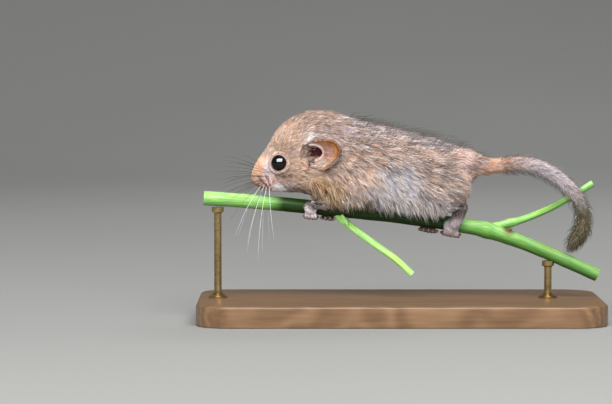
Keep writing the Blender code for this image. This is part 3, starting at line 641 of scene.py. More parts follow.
for side in SIDES:
    add_ball(bm, at_side(side, EYE_CENTRE), (2.9, 2.9, 2.9))
    ear_frame = ear_matrix(side)
    add_ball(bm, ear_frame @ Vector((-2.6, 0.0, -3.6)), (4.2, 3.4, 1.7), ear_frame.to_3x3())
    add_ball(bm, at_side(side, (-18.4 + FORE_SHIFT[side], 5.0, 35.6)), (3.6, 2.9, 3.2))
    add_ball(bm, at_side(side, (-13.5, 5.8, 35.4)), (5.0, 2.9, 3.6))
hide_source = object_of(bm, "hide")
bm = remeshed(hide_source, SKIN_GRAIN)
relax(bm, 10)
points, normals = arrays_of(bm)


def limb_cover(points):
    """How far each point belongs to a fore limb and to a hind limb, from 0 to 1."""
    cover = {}
    for name, axis in LIMBS.items():
        along, _, _, centre = round_axis(points, axis)
        out = np.linalg.norm(points - centre, axis=1)
        share = along / np.linalg.norm(np.diff(axis[:, :3], axis=0), axis=1).sum()
        nearest = ((centre[:, None, :] - axis[None, ::4, :3]) ** 2).sum(2).argmin(1)
        cover[name] = 1 - step_up(0.1, 1.1, out - axis[::4][nearest, 3])
        cover[name] *= step_up(*LIMB_SHOWS[name[:4]], share)
    fore = np.maximum(cover["fore_left"], cover["fore_right"])
    hind = np.maximum(cover["hind_left"], cover["hind_right"])
    return fore, hind


fore_cover, hind_cover = limb_cover(points)
depth = np.interp(points[:, 0], *np.array(COAT_DEPTH).T)
depth *= 1 - 0.72 * fore_cover - 0.4 * hind_cover
depth += 0.8 * hill(points[:, 0], 16.5, 5.5) * step_up(44, 50, points[:, 2])
depth *= 1 - 0.35 * step_up(30, 23, points[:, 2]) * step_up(40, 45, points[:, 0])
move_to(bm, points - normals * depth[:, None])
relax(bm, 4)

# the face is made finer than the rest, for lids, lips, nose and nostrils
FACE_END = -0.0305  # x, in metres
fine = [e for e in bm.edges if all(v.co.x < FACE_END + 0.3 * MM for v in e.verts)]
bmesh.ops.subdivide_edges(bm, edges=fine, cuts=1, use_grid_fill=True, smooth=0.0)
bmesh.ops.triangulate(bm, faces=[f for f in bm.faces if len(f.verts) > 4])
relax(bm, 3, [v for v in bm.verts if v.co.x < FACE_END])
points, normals = arrays_of(bm)
x, y, z = points.T

MOUTH_AXIS_X = -36.8
MOUTH_HEIGHTS = (36.95, 37.7)  # in front and at the corners
MOUTH_CORNER = 98  # degrees round the axis
NOSTRIL = (-40.75, 1.0, 38.3)
turn = np.degrees(np.arctan2(np.abs(y), -(x - MOUTH_AXIS_X)))
rising = np.clip(turn / MOUTH_CORNER, 0, 1) ** 2
mouth_height = MOUTH_HEIGHTS[0] + (MOUTH_HEIGHTS[1] - MOUTH_HEIGHTS[0]) * rising
near_mouth = (x < -33.5) * (1 - step_up(88, 104, turn))
above = z - mouth_height
lips = -0.42 * hill(above, 0, 0.2) + 0.16 * hill(above, 0.5, 0.35) + 0.14 * hill(above, -0.55, 0.35)
push = near_mouth * lips

# the cleft under the nose, the comma-shaped nostrils with their rims, and the edge of the nose's bare pad
cleft = step_up(-38.8, -40.0, x) * hill(y, 0, 0.16) * step_up(0, 0.3, above) * (1 - step_up(38.3, 38.8, z))
push -= 0.34 * cleft
aside = np.abs(y) - NOSTRIL[1]
rise = z - NOSTRIL[2]
comma = np.sqrt(((aside + 0.35 * rise) / 0.30) ** 2 + (rise / 0.42) ** 2)
push -= 0.55 * (1 - step_up(0.55, 1.25, comma)) * step_up(-38.6, -39.6, x)
push += 0.16 * hill(comma, 1.75, 0.45) * step_up(-39.0, -40.0, x)
pad_line = x + 39.7 + 0.25 * (z - 38.5)
push -= 0.12 * hill(pad_line, 0, 0.22) * step_up(41.0, 40.2, z) * step_up(36.9, 37.5, z)
push += 0.05 * np.sin(x * 5.1) * np.sin(y * 4.7 + z * 4.3) * step_up(-36, -38, x)
points = points + normals * push[:, None]


def round_eye(points, side):
    """The points from the eye's middle, how far off they are, and their angle from its gaze."""
    offset = points - at_side(side, EYE_CENTRE)
    away = np.linalg.norm(offset, axis=1)
    return offset, away, np.degrees(np.arccos(np.clip((offset * gaze(side)).sum(1) / away, -1, 1)))


for side in SIDES:
    offset, away, angle = round_eye(points, side)
    socket = EYE_RADIUS - 0.35 + (LID_THICK + 0.5) * step_up(LID_ANGLE - 4, LID_ANGLE + 5, angle)
    hold = (1 - step_up(84, 112, angle)) * (away < 6.5)
    wanted = away + (socket - away) * hold
    wanted += hold * 0.10 * hill(angle, 79, 4)
    points = at_side(side, EYE_CENTRE) + offset * (wanted / away)[:, None]

EAR_LONG, EAR_HIGH = 11.4, 7.5
EAR_TAPER = 0.12  # of the height, from the middle to the tip
EAR_RISE, EAR_RISE_END = 0.8, 4.5  # the back of the cup stands higher than its front
EAR_DEPTHS = (2.7, 1.35)  # of the cup, at its front and at its back
EAR_HOLE = ((-3.2, 0.75), (2.0, 1.6), 1.9)  # middle, radii and depth of the way in


def ear_shape(x, y, wider=0.0):
    """At a place across the cup: its height, how far out it is, how much it is way in, and raised fold."""
    along = x / (EAR_LONG / 2)
    y = y - EAR_RISE * step_up(0.0, EAR_RISE_END, x)
    cup = np.hypot(along, y / (EAR_HIGH / 2 * (1 - EAR_TAPER * along)))
    within = np.minimum(cup, 1)
    back = (along + 1) / 2
    (hole_x, hole_y), (wide, tall), deep = EAR_HOLE
    hole = np.hypot((x - hole_x) / wide, (y - hole_y) / tall)
    notch = np.hypot((x - hole_x + 0.6) / 0.55, (y - hole_y + 2.3) / 1.2)
    inside = np.minimum(hole, notch)
    pit = 1 - step_up(0.85 + wider, 1.12 + wider, inside)
    fold = hill(inside, 1.36, 0.17) * step_up(-5.2, -3.8, x)
    second = hill(np.hypot((x - 0.6) / 3.3, y / 2.6), 1.0, 0.10) * step_up(-0.5, 1.5, x)
    depth = EAR_DEPTHS[0] + (EAR_DEPTHS[1] - EAR_DEPTHS[0]) * back
    height = -depth * (1 - within**2) + 0.55 * back * within**6
    height += 0.42 * fold + 0.24 * second - deep * pit + 0.05 * np.sin(2.3 * x + 1) * np.sin(2.9 * y)
    height -= 1.7 * step_up(-3.8, -5.6, x)
    return height, cup, pit, fold


def in_ear(points, side):
    """The points in the ear's own axes, and the turn of those axes."""
    turn = np.array(ear_matrix(side).to_3x3())
    return (points - at_side(side, EAR_CENTRE)) @ turn, turn


for side in SIDES:
    local, turn = in_ear(points, side)
    height, cup, _, _ = ear_shape(local[:, 0], local[:, 1], 0.45)
    room = height - 0.8
    hidden = (cup < 1.0) & (local[:, 0] > -5.2) & (local[:, 2] > room) & (local[:, 2] < 4.0)
    local[:, 2] = np.where(hidden, room, local[:, 2])
    points = local @ turn.T + at_side(side, EAR_CENTRE)
move_to(bm, points)
relax(bm, 1, [v for v in bm.verts if v.co.x < FACE_END])
hide = object_of(bm, "hide")
# The head's skin round each ear's way in is darkened with painted shade.
way_in = np.zeros(len(points))
for side in SIDES:
    local, _ = in_ear(points, side)
    far = np.hypot((local[:, 0] + 3.6) / 2.3, (local[:, 1] - 0.3) / 2.4)
    near = (1 - step_up(0.8, 1.1, far)) * (np.abs(local[:, 2]) < 6)
    way_in = np.maximum(way_in, near * step_up(0.2, -1.2, local[:, 2]))
mark(hide.data, bare=0.0, hollow=way_in)

# Eyelids: a thin moist rim round each eye, slightly pointed at the corners.
skin_pieces = [hide]
for side in SIDES:
    aim = Vector(gaze(side))
    turn = aim.to_track_quat("Z", "Y").to_matrix()
    reach = EYE_RADIUS * math.cos(math.radians(LID_ANGLE)) + 0.05
    radius = EYE_RADIUS * math.sin(math.radians(LID_ANGLE)) + 0.06
    rim = []
    for k in range(49):
        angle = 2 * math.pi * k / 48
        c, s = math.cos(angle), math.sin(angle)
        corner = 1 + 0.05 * abs(c) ** 6
        point = turn @ Vector((c * radius * corner, s * radius * 0.98, reach + 0.02 - 0.1 * c * c))
        rim.append((*(Vector(at_side(side, EYE_CENTRE)) + point), 0.13 + 0.03 * s))
    lid = tubes(f"lid_{side}", [rim], 10, caps=False)
    mark(lid.data, bare=1.0, hollow=0.0, fold=0.28)
    skin_pieces.append(lid)

# Ears: thin, round cups of nearly bare skin. A raised inner fold, its pale tint partly a painted highlight,
# runs round the way in, which is darkened with painted shade, and the rim is browner and darker than the
# cup.
EAR_WALL = 0.42 * MM


def in_order(bm):
    """Puts edges and faces, which create_uvsphere makes in any order, in the same order on each run."""
    bm.verts.index_update()
    count = len(bm.verts)

    def rank(part):
        corners = sorted(v.index for v in part.verts)
        return (corners[0] * count + corners[1]) * count + corners[-1]

    bm.edges.sort(key=rank)
    bm.faces.sort(key=rank)
    mesh = bpy.data.meshes.new("ordered")
    bm.to_mesh(mesh)
    bm.clear()
    bm.from_mesh(mesh)
    bpy.data.meshes.remove(mesh)


for side in SIDES:
    bm = bmesh.new()
    bmesh.ops.create_uvsphere(bm, u_segments=88, v_segments=68, radius=1.0)
    in_order(bm)
    bmesh.ops.delete(bm, geom=[v for v in bm.verts if v.co.z > 0.01], context="VERTS")
    for v in bm.verts:
        x = v.co.x * EAR_LONG / 2
        y = v.co.y * EAR_HIGH / 2 * (1 - EAR_TAPER * v.co.x)
        y += EAR_RISE * float(step_up(0.0, EAR_RISE_END, x))
        v.co = (x * MM, y * MM, float(ear_shape(x, y)[0]) * MM)
    bmesh.ops.recalc_face_normals(bm, faces=bm.faces)
    if sum((f.normal * f.calc_area() for f in bm.faces), Vector()).z < 0:
        bmesh.ops.reverse_faces(bm, faces=bm.faces)
    bmesh.ops.solidify(bm, geom=bm.faces[:], thickness=EAR_WALL)
    shape = ear_matrix(side)
    shape.translation = shape.translation * MM
    bmesh.ops.transform(bm, matrix=shape, verts=bm.verts)
    relax(bm, 2)
    bmesh.ops.recalc_face_normals(bm, faces=bm.faces)
    in_order(bm)
    ear = object_of(bm, f"ear_skin_{side}")
    local, _ = in_ear(places_of(ear.data), side)
    height, cup, pit, fold = ear_shape(local[:, 0], local[:, 1])
    inner = step_up(-0.3, -0.1, local[:, 2] - height)
    rear_fold = step_up(-2.4, -1.6, local[:, 0]) * (1 - step_up(0.9, 1.9, np.abs(local[:, 1] - 0.5)))
    rim = step_up(0.84, 0.97, cup) * step_up(0.0, 1.5, local[:, 1])
    back = step_up(0.3, 1.0, cup) * step_up(-3.0, 3.5, local[:, 0])
    # painted shade in the way in and at the ear's front end, where it goes into the head
    hollow = np.maximum(pit, step_up(-3.4, -4.2, local[:, 0]))
    # the fold's pale tint is partly a painted highlight on the raised fold
    fold = fold * inner * (1 - 0.55 * rear_fold)
    mark(ear.data, bare=0.5, hollow=hollow, fold=fold, outward=np.maximum(rim, back))
    skin_pieces.append(ear)

# Feet: narrow palms with long thin toes bent round the stem, a round pad under each toe's tip. The skin is
# pale pink above, and the toes are darkened with painted shade where they curl under the stem.
STEM_AXIS = np.array(smooth_path(STEM_PATH, 200))
FEET = {  # an arc is where a toe starts and ends round the stem, in degrees; the toes are places along it
    "fore": {
        "x": -24.9,
        "shift": FORE_SHIFT,
        "bones": ((-23.3, 4.4, 32.7, 1.25), (-24.2, 3.9, 32.2, 1.15)),
        "palm": (1.9, 1.0, 1.85),
        "arc": (14.0, 112.0),
        "toes": (-1.6, -0.58, 0.5, 1.5),
        "radius": 0.44,
    },
    "hind": {
        "x": 14.3,
        "shift": HIND_SHIFT,
        "bones": ((16.9, 6.6, 32.6, 1.95), (16.1, 5.6, 29.6, 1.75), (15.2, 4.6, 27.2, 1.5)),
        "palm": (2.2, 1.05, 2.1),
        "arc": (20.0, 108.0),
        "toes": (-2.15, -1.1, 0.0, 1.05, 2.0),
        "radius": 0.5,
    },
}
KNUCKLE = 1.05  # how far a toe arches off the stem
STEM_CLEARANCE = 2.2  # the sole's distance from the stem's middle
FOOT_GRAIN = 0.17 * MM  # size of the feet's mesh


def stem_middle(x):
    """The stem's y and z at a place along it."""
    along, y, z = STEM_AXIS.T[:3]
    return float(np.interp(x, along, y)), float(np.interp(x, along, z))


def toe_path(side, foot_x, offset, number, foot):
    """The middle line of one toe round the stem, with its joints and the pad under its tip."""
    x = foot_x + offset
    centre_y, centre_z = stem_middle(x)
    radius = foot["radius"]
    reach = 1.0 - 0.32 * abs(number - (len(foot["toes"]) - 1) / 2) / len(foot["toes"])
    curl = STEM_RADIUS + 0.25 + radius
    start, end = (math.radians(v) for v in foot["arc"])
    path = []
    for k in range(15):
        t = k / 14
        angle = start + (end - start) * reach * t
        joints = 0.16 * math.exp(-(((t - 0.42) / 0.10) ** 2))
        joints += 0.13 * math.exp(-(((t - 0.72) / 0.08) ** 2))
        pad = 0.22 * math.exp(-(((t - 0.96) / 0.12) ** 2))
        thick = radius * (0.80 + 0.25 * min(1.0, 3 * t) - 0.22 * t + joints + pad)
        away = curl + KNUCKLE * math.sin(math.pi * min(1.0, 0.15 + t)) ** 2 - 0.08 * pad
        spread = x + offset * (0.5 * t - 0.3)
        y = centre_y + SIDES[side] * away * math.cos(angle)
        path.append((spread, y, centre_z - away * math.sin(angle), thick))
    return path


TOES = {}
for name, foot in FEET.items():
    for side in SIDES:
        shift = foot["shift"][side]
        foot_x = foot["x"] + shift
        centre_y, centre_z = stem_middle(foot_x)
        out = STEM_RADIUS + 0.3 + foot["palm"][1] + 0.05
        lean = math.radians(foot["arc"][0] - 14)
        palm_y = centre_y + SIDES[side] * out * math.cos(lean)
        palm = np.array([foot_x, palm_y, centre_z - out * math.sin(lean)])
        toes = [toe_path(side, foot_x, offset, n, foot) for n, offset in enumerate(foot["toes"])]
        TOES[name, side] = toes
        leg = [(x + shift, SIDES[side] * y, z, r) for x, y, z, r in foot["bones"]]
        leg.append((*palm, foot["palm"][1] * 1.1))
        paths = [rounded_tip(toe) for toe in toes] + [rounded_tip(smooth_path(leg, 14))]
        foot_source = tubes(f"{name}_foot_{side}", paths, 14)
        bm = bmesh.new()
        bm.from_mesh(foot_source.data)
        add_ball(bm, palm, foot["palm"])
        for toe in toes:
            add_ball(bm, np.array(toe[3][:3]) * 0.55 + palm * 0.45, (0.45, 0.6, 0.7), segments=14, rings=8)
        for v in bm.verts:
            place = v.co / MM
            y, z = stem_middle(place.x)
            away = Vector((place.y - y, place.z - z))
            if 1e-3 < away.length < STEM_CLEARANCE:
                away = away.normalized() * STEM_CLEARANCE
                v.co = Vector((place.x, y + away.x, z + away.y)) * MM
        bm.to_mesh(foot_source.data)
        bm.free()
        bm = remeshed(foot_source, FOOT_GRAIN)
        relax(bm, 4)
        foot_skin = object_of(bm, f"foot_skin_{name}_{side}")
        points = places_of(foot_skin.data)
        tips = np.array([p[:3] for toe in toes for p in toe[6:]])
        near = np.sqrt(((points[:, None, :] - tips[None]) ** 2).sum(2).min(1))
        # painted shade on the toes, where they curl under the stem
        mark(foot_skin.data, bare=1.0, hollow=0.85 * (1 - step_up(0.45, 1.5, near)))
        skin_pieces.append(foot_skin)

# Markings of the skin and the coat: a height gradient from grey-brown back to pale belly with soft patches
# over it, the same on both sides. Some patches are painted shade, a painted highlight or a painted sheen,
# each noted where it stands. Each is a middle, radii, colour and strength.
# BACK's grey is partly the back's own grey-brown and partly a painted sheen from the sky.
BACK, FLANK, BELLY = (0.44, 0.385, 0.41), (0.52, 0.385, 0.33), (0.56, 0.61, 0.67)
MARKINGS = {
    "pale tousled flank": ((-3.0, 11.0, 38.0), (9.5, 8.0, 8.5), (0.56, 0.56, 0.61), 0.88),
    # partly the back's own grey, partly a painted sheen from the sky
    "rear back, grey with painted sheen": ((7.0, 2.0, 50.0), (13.0, 7.0, 5.0), (0.28, 0.265, 0.305), 0.7),
    "haunch": ((12.0, 9.5, 38.0), (9.5, 7.0, 9.0), (0.385, 0.305, 0.275), 0.85),
    "rump": ((18.0, 4.5, 43.5), (7.5, 7.5, 6.0), (0.96, 0.71, 0.65), 0.88),
    "forehead": ((-32.5, 4.0, 51.5), (7.5, 9.0, 7.0), (0.68, 0.485, 0.37), 0.95),
    "crown": ((-24.5, 3.0, 57.5), (11.5, 10.0, 7.6), (0.335, 0.21, 0.15), 0.82),
    "nape": ((-12.5, 2.0, 54.5), (8.5, 8.0, 5.0), (0.44, 0.375, 0.375), 0.6),
    "cheek": ((-28.0, 9.0, 42.5), (7.0, 6.0, 6.5), (0.66, 0.48, 0.365), 0.95),
    "shoulder": ((-13.0, 9.0, 43.0), (8.0, 6.0, 7.0), (0.64, 0.465, 0.38), 0.8),
    "throat": ((-22.6, 7.0, 36.6), (7.4, 7.5, 5.6), (0.74, 0.48, 0.235), 0.8),
    # painted shade under the chest, where it overhangs the stem
    "painted shade low on the chest": ((-15.0, 7.0, 33.6), (9.5, 8.0, 4.6), (0.17, 0.115, 0.062), 0.9),
    "muzzle": ((-40.2, 1.0, 42.2), (5.2, 5.0, 5.0), (0.94, 0.59, 0.40), 1.0),
    "whisker pad": ((-37.6, 3.6, 38.6), (3.4, 3.5, 2.6), (0.80, 0.52, 0.48), 0.95),
    "before the eye": ((-37.2, 4.5, 42.2), (2.1, 3.5, 3.4), (0.86, 0.74, 0.76), 0.95),
    "nose": ((-41.0, 0.0, 38.1), (1.8, 2.8, 1.5), (0.42, 0.21, 0.24), 0.95),
    "chin": ((-34.4, 3.0, 36.9), (2.4, 3.8, 1.7), (1.0, 1.0, 1.06), 1.0),
    # painted shade beneath the jaw
    "painted shade beneath the jaw": ((-29.3, 3.5, 35.9), (4.8, 5.5, 2.1), (0.18, 0.14, 0.11), 0.9),
    "round the eye": ((-35.0, 6.5, 46.7), (1.7, 3.0, 1.5), (0.88, 0.78, 0.72), 0.6),
    "below the eye": ((-33.0, 6.4, 40.6), (2.9, 2.8, 0.9), (0.22, 0.12, 0.075), 0.85),
    "before the ear": ((-26.2, 9.5, 50.0), (1.7, 4.0, 3.4), (0.86, 0.78, 0.75), 0.9),
    "ear root": ((-27.0, 10.0, 43.8), (2.4, 4.0, 2.2), (0.40, 0.21, 0.155), 0.8),
    "ear's own down": ((-21.0, 11.5, 43.8), (5.5, 2.6, 2.6), (0.66, 0.42, 0.26), 0.9),
    "shin": ((15.9, 6.4, 31.5), (4.2, 4.0, 3.6), (0.10, 0.05, 0.042), 0.95),
    "under side of the tail": ((36.0, 0.0, 39.5), (9.0, 4.0, 3.0), (0.55, 0.33, 0.22), 0.6),
    # painted shade on the wrist fur, under the chest
    "painted shade at the wrist": ((-23.5, 5.0, 32.8), (3.6, 4.5, 2.2), (0.06, 0.045, 0.04), 0.95),
    "under the tail": ((18.2, 6.0, 36.2), (1.9, 6.5, 2.4), (0.09, 0.055, 0.055), 0.92),
    "tail root": ((23.8, 0.0, 43.4), (7.0, 6.0, 5.0), (0.62, 0.385, 0.28), 0.85),
    # the tail's upper arc: partly its own paler fur, partly a painted highlight
    "tail": ((42.0, 1.0, 41.0), (12.0, 6.0, 8.0), (0.66, 0.63, 0.69), 0.88),
    # painted shade on the lower tail
    "painted shade on the lower tail": ((50.5, 2.0, 25.0), (7.2, 6.0, 11.6), (0.135, 0.110, 0.040), 0.94),
}


def markings_group():
    """A node group: a place in metres goes in, the coat's colour there comes out."""
    group = bpy.data.node_groups.new("coat_markings", "ShaderNodeTree")
    group.interface.new_socket("Place", in_out="INPUT", socket_type="NodeSocketVector")
    group.interface.new_socket("Colour", in_out="OUTPUT", socket_type="NodeSocketColor")
    entry = group.nodes.new("NodeGroupInput")
    leave = group.nodes.new("NodeGroupOutput")
    patches = {"Vector": entry.outputs[0], "Scale": 260.0, "Detail": 2.0}
    wander = node(group, "TexNoise", patches).outputs["Color"]
    shift = vector_math(group, "SUBTRACT", {0: wander, 1: (0.5, 0.5, 0.5)})
    shift = vector_math(group, "SCALE", {0: shift, "Scale": 0.0030})
    place = vector_math(group, "ADD", {0: entry.outputs[0], 1: shift})
    place = vector_math(group, "SCALE", {0: place, "Scale": 1 / MM})
    split = node(group, "SeparateXYZ", {0: place})
    mirrored = node(group, "Math", {0: split.outputs[1]}, operation="ABSOLUTE").outputs[0]
    place = node(group, "CombineXYZ", {0: split.outputs[0], 1: mirrored, 2: split.outputs[2]}).outputs[0]
    height = rescaled(group, split.outputs[2], 29.0, 57.0)
    colour = ramp(group, height, [(0.05, BELLY), (0.35, FLANK), (0.65, FLANK), (0.95, BACK)])
    for middle, radii, tint, strength in MARKINGS.values():
        away = vector_math(group, "SUBTRACT", {0: place, 1: middle})
        away = vector_math(group, "DIVIDE", {0: away, 1: radii})
        far = vector_math(group, "LENGTH", {0: away}, "Value")
        mask = rescaled(group, far, 0.45, 1.1, 0.0, strength, interpolation_type="SMOOTHSTEP")
        colour = mix(group, mask, colour, tint)
    group.links.new(colour, leave.inputs[0])
    return group


MARKINGS_GROUP = markings_group()


def marked(tree, place):
    """The coat's colour at a place, in a material's tree."""
    used = tree.nodes.new("ShaderNodeGroup")
    used.node_tree = MARKINGS_GROUP
    tree.links.new(place, used.inputs["Place"])
    return used.outputs["Colour"]


hide_material, tree, shader = new_material("hide", 0.6)
place = object_place(tree)
under = times(tree, marked(tree, place), (0.62, 0.56, 0.54))
pores = noise(tree, place, 3800.0, 3.0, 0.6)
mottled = noise(tree, place, 700.0, 3.0)
pinks = [(0.3, (0.52, 0.39, 0.42)), (0.55, (0.80, 0.68, 0.74)), (0.75, (0.96, 0.90, 0.98))]
pink = ramp(tree, mottled, pinks)
split = node(tree, "SeparateXYZ", {0: place})
rear = rescaled(tree, split.outputs[0], -0.02, 0.0, 0.7)
pink = mix(tree, rear, pink, (0.39, 0.285, 0.29))
ear_tint = ramp(
    tree,
    stored(tree, "outward"),
    [
        (0.0, (0.38, 0.215, 0.175)),
        (0.35, (0.41, 0.215, 0.135)),
        (0.7, (0.43, 0.18, 0.05)),
        (1.0, (0.26, 0.09, 0.02)),
    ],
)
patchy = ramp(tree, mottled, [(0.3, (0.72, 0.68, 0.66)), (0.7, (1.15, 1.14, 1.14))])
ear_tint = times(tree, ear_tint, patchy)
high = rescaled(tree, split.outputs[2], 0.036, 0.040)  # above this are the ears, below it the feet
# The feet's skin darkens towards its top; at the wrist, under the chest, this is painted shade.
raised = node(tree, "Math", {0: rear, 1: 0.0046, 2: split.outputs[2]}, operation="MULTIPLY_ADD").outputs[0]
wrist = rescaled(tree, raised, 0.0306, 0.0326, 0.9)
pink = mix(tree, wrist, pink, (0.035, 0.022, 0.02))
skin_tint = mix(tree, high, pink, ear_tint)
# The fold's pale tint is partly the ear skin's own paler tone and partly a painted highlight on the raised
# inner fold; the lids take a little of it.
skin_tint = mix(tree, stored(tree, "fold"), skin_tint, (0.82, 0.66, 0.65))
is_bare = rescaled(tree, stored(tree, "bare"), 0.1, 0.4)
tint = mix(tree, is_bare, under, skin_tint)
# Painted shade: dark in the ears' ways in, where the ears go into the head, and on the toes under the stem.
dark = mix(tree, high, (0.13, 0.075, 0.06), (0.055, 0.004, 0.005))
tint = mix(tree, stored(tree, "hollow"), tint, dark)
rough = grey_ramp(tree, pores, (0.3, 0.68), (0.7, 0.48))
feed(tree, shader, Base_Color=tint, Roughness=rough, Normal=bump(tree, pores, 0.5, 0.00008))

bpy.ops.object.select_all(action="DESELECT")
for piece in skin_pieces:
    piece.select_set(True)
bpy.context.view_layer.objects.active = hide
bpy.ops.object.join()
skin = hide
skin.name = skin.data.name = "dormouse_skin"
skin.data.materials.clear()
skin.data.materials.append(hide_material)
skin.data.shade_smooth()
skin_nodes = FLESH + [f"{part}_{side}" for part in ("ear", "fore_foot", "hind_foot") for side in SIDES]
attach(skin, "root")
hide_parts(*skin_nodes)

# Eyes: glossy balls, so dark a brown that no pupil shows, set in the lids and bulging out of the head. The
# sky lamp is linked to them alone and gives their highlight.
CORNEA = 0.05  # how far it bulges, as a share of the radius
eye_black, tree, shader = new_material("wet_black", 0.05, Coat_Weight=0.2, Coat_Roughness=0.02, IOR=1.3)
place = object_place(tree)
browns = [(0.3, (0.0025, 0.002, 0.002)), (0.7, (0.007, 0.0045, 0.0035))]
tint = ramp(tree, noise(tree, place, 900.0), browns)
feed(tree, shader, Base_Color=tint)
lit_by_sky = bpy.data.collections.new("lit_by_sky")
bpy.data.objects["sky"].light_linking.receiver_collection = lit_by_sky
for side in SIDES:
    bm = bmesh.new()
    bmesh.ops.create_uvsphere(bm, u_segments=64, v_segments=40, radius=EYE_RADIUS * MM)
    for v in bm.verts:
        front = max(0.0, v.co.z / (EYE_RADIUS * MM))
        v.co.z *= 1 + CORNEA * front**3
    aim = Vector(gaze(side)).to_track_quat("Z", "Y").to_matrix()
    bmesh.ops.rotate(bm, matrix=aim, verts=bm.verts)
    bmesh.ops.translate(bm, vec=Vector(at_side(side, EYE_CENTRE)) * MM, verts=bm.verts)
    in_order(bm)
    eye = object_of(bm, f"eyeball_{side}")
    eye.data.materials.append(eye_black)
    lit_by_sky.objects.link(eye)
    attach(eye, "root")
    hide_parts(f"eye_{side}")

# Claws: a short, curved, needle-sharp claw of pale horn at the tip of each toe, bent towards the stem.
CLAW_LENGTH, CLAW_RADIUS, CLAW_BEND = 1.0, 0.2, 0.42
horn, tree, shader = new_material("claw_horn", 0.3, Coat_Weight=0.3, Coat_Roughness=0.2)
place = object_place(tree)
tint = ramp(tree, noise(tree, place, 1500.0), [(0.3, (0.32, 0.23, 0.17)), (0.7, (0.55, 0.44, 0.35))])
feed(tree, shader, Base_Color=tint)
claw_paths = []
for (name, side), toes in TOES.items():
    for toe in toes:
        tip, before = np.array(toe[-1]), np.array(toe[-3])
        way = (tip[:3] - before[:3]) / np.linalg.norm(tip[:3] - before[:3])
        y, z = stem_middle(tip[0])
        outward = np.array([0, tip[1] - y, tip[2] - z])
        outward /= np.linalg.norm(outward)
        root = tip[:3] + outward * tip[3] * 0.45 - way * 0.1
        path = []
        for k in range(7):
            t = k / 6
            place = root + way * CLAW_LENGTH * t - outward * CLAW_BEND * t * t
            place = place + outward * 0.12 * math.sin(math.pi * t)
            path.append((*place, CLAW_RADIUS * (1 - t) ** 0.7 + 0.01))
        claw_paths.append(path)
claws = tubes("claws", claw_paths, 8)
claws.data.materials.append(horn)
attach(claws, "root")

# Coat: fine soft hairs in small tufts, laid from the nose to the tail and down the flanks and legs. The
# hairs of a tuft lean together. The coat is short on the face and feet, and longest on flanks and belly.
HAIR_LENGTHS = (  # x, then the length on the back, on the side and below
    (-42.0, 0.55, 0.6, 0.5),
    (-38.5, 0.9, 0.85, 0.7),
    (-35.0, 1.3, 1.1, 1.1),
    (-31.0, 2.0, 1.5, 1.6),
    (-26.0, 2.8, 2.1, 2.4),
    (-20.0, 3.4, 3.1, 3.0),
    (-10.0, 3.8, 3.8, 3.6),
    (5.0, 3.9, 4.2, 4.6),
    (15.0, 3.5, 3.6, 4.0),
    (22.0, 2.6, 2.6, 2.6),
    (26.0, 2.2, 2.2, 2.2),
    (40.0, 2.2, 2.2, 2.2),
    (53.0, 2.1, 2.1, 2.1),
)
SPINE = (  # x, top and bottom of the skin
    (-42.0, 40.0, 39.0), (-38.0, 46.5, 36.3), (-33.0, 54.0, 36.0), (-25.0, 57.5, 35.2), (-17.0, 56.8, 32.0),
    (0.0, 52.3, 30.0), (12.0, 49.5, 30.5), (18.0, 48.0, 35.0), (24.0, 45.2, 40.7)
)
NOSE = np.array([-42.5, 0.0, 39.4])  # the face's hairs lie away from here
NOSE_TIP, NOSE_SIZE = np.array([-41.4, 0, 38.1]), np.array([1.0, 1.1, 0.9])  # its bare skin
HAIR_ROOT_RADIUS = 0.095
LOCK_SIZE = 0.6  # of the small locks that lean together, as a share of a tuft
TUFT_DRAW = np.array(  # turns a tuft's cell into five numbers that look drawn at random
    (
        (12.99, 39.35, 73.16, 27.17, 61.30),
        (78.23, 11.14, 52.24, 83.16, 9.15),
        (37.72, 83.16, 9.15, 45.32, 33.10),
    )
)


def unit(vectors):
    return vectors / np.maximum(np.linalg.norm(vectors, axis=-1, keepdims=True), 1e-9)


def skin_part(least_bare, most_bare):
    """The part of the skin that is bare within these limits, and its points' marks "bare" and "hollow"."""
    bm = bmesh.new()
    bm.from_mesh(skin.data)
    bare = bm.verts.layers.float["bare"]
    others = [v for v in bm.verts if not least_bare <= v[bare] <= most_bare]
    bmesh.ops.delete(bm, geom=others, context="VERTS")
    bmesh.ops.triangulate(bm, faces=bm.faces)
    points, normals = arrays_of(bm)
    bm.verts.index_update()
    triangles = np.array([[v.index for v in f.verts] for f in bm.faces])
    marks = [np.array([v[bm.verts.layers.float[name]] for v in bm.verts]) for name in ("bare", "hollow")]
    bm.free()
    return (points, normals, triangles), *marks


def scatter(part, mask, weight, count, rng):
    """Roots spread by area and weight, the way out of the skin at each, and a reader of fields there."""
    points, normals, triangles = part
    triangles = triangles[mask[triangles[:, 0]]]
    a, b, c = (points[triangles[:, k]] for k in range(3))
    area = np.linalg.norm(np.cross(b - a, c - a), axis=1) * weight[triangles].mean(1)
    total = np.cumsum(area)
    places = (np.arange(count) + rng.random(count)) / count * total[-1]
    corners = triangles[np.minimum(np.searchsorted(total, places), len(triangles) - 1)]
    share = rng.random((count, 2))
    flip = share.sum(1) > 1
    share[flip] = 1 - share[flip]
    shares = np.stack([1 - share.sum(1), share[:, 0], share[:, 1]], 1)

    def at_roots(values):
        picked = values[corners]
        return (picked * shares.reshape(*shares.shape, *([1] * (picked.ndim - 2)))).sum(1)

    return at_roots(points), unit(at_roots(normals)), at_roots


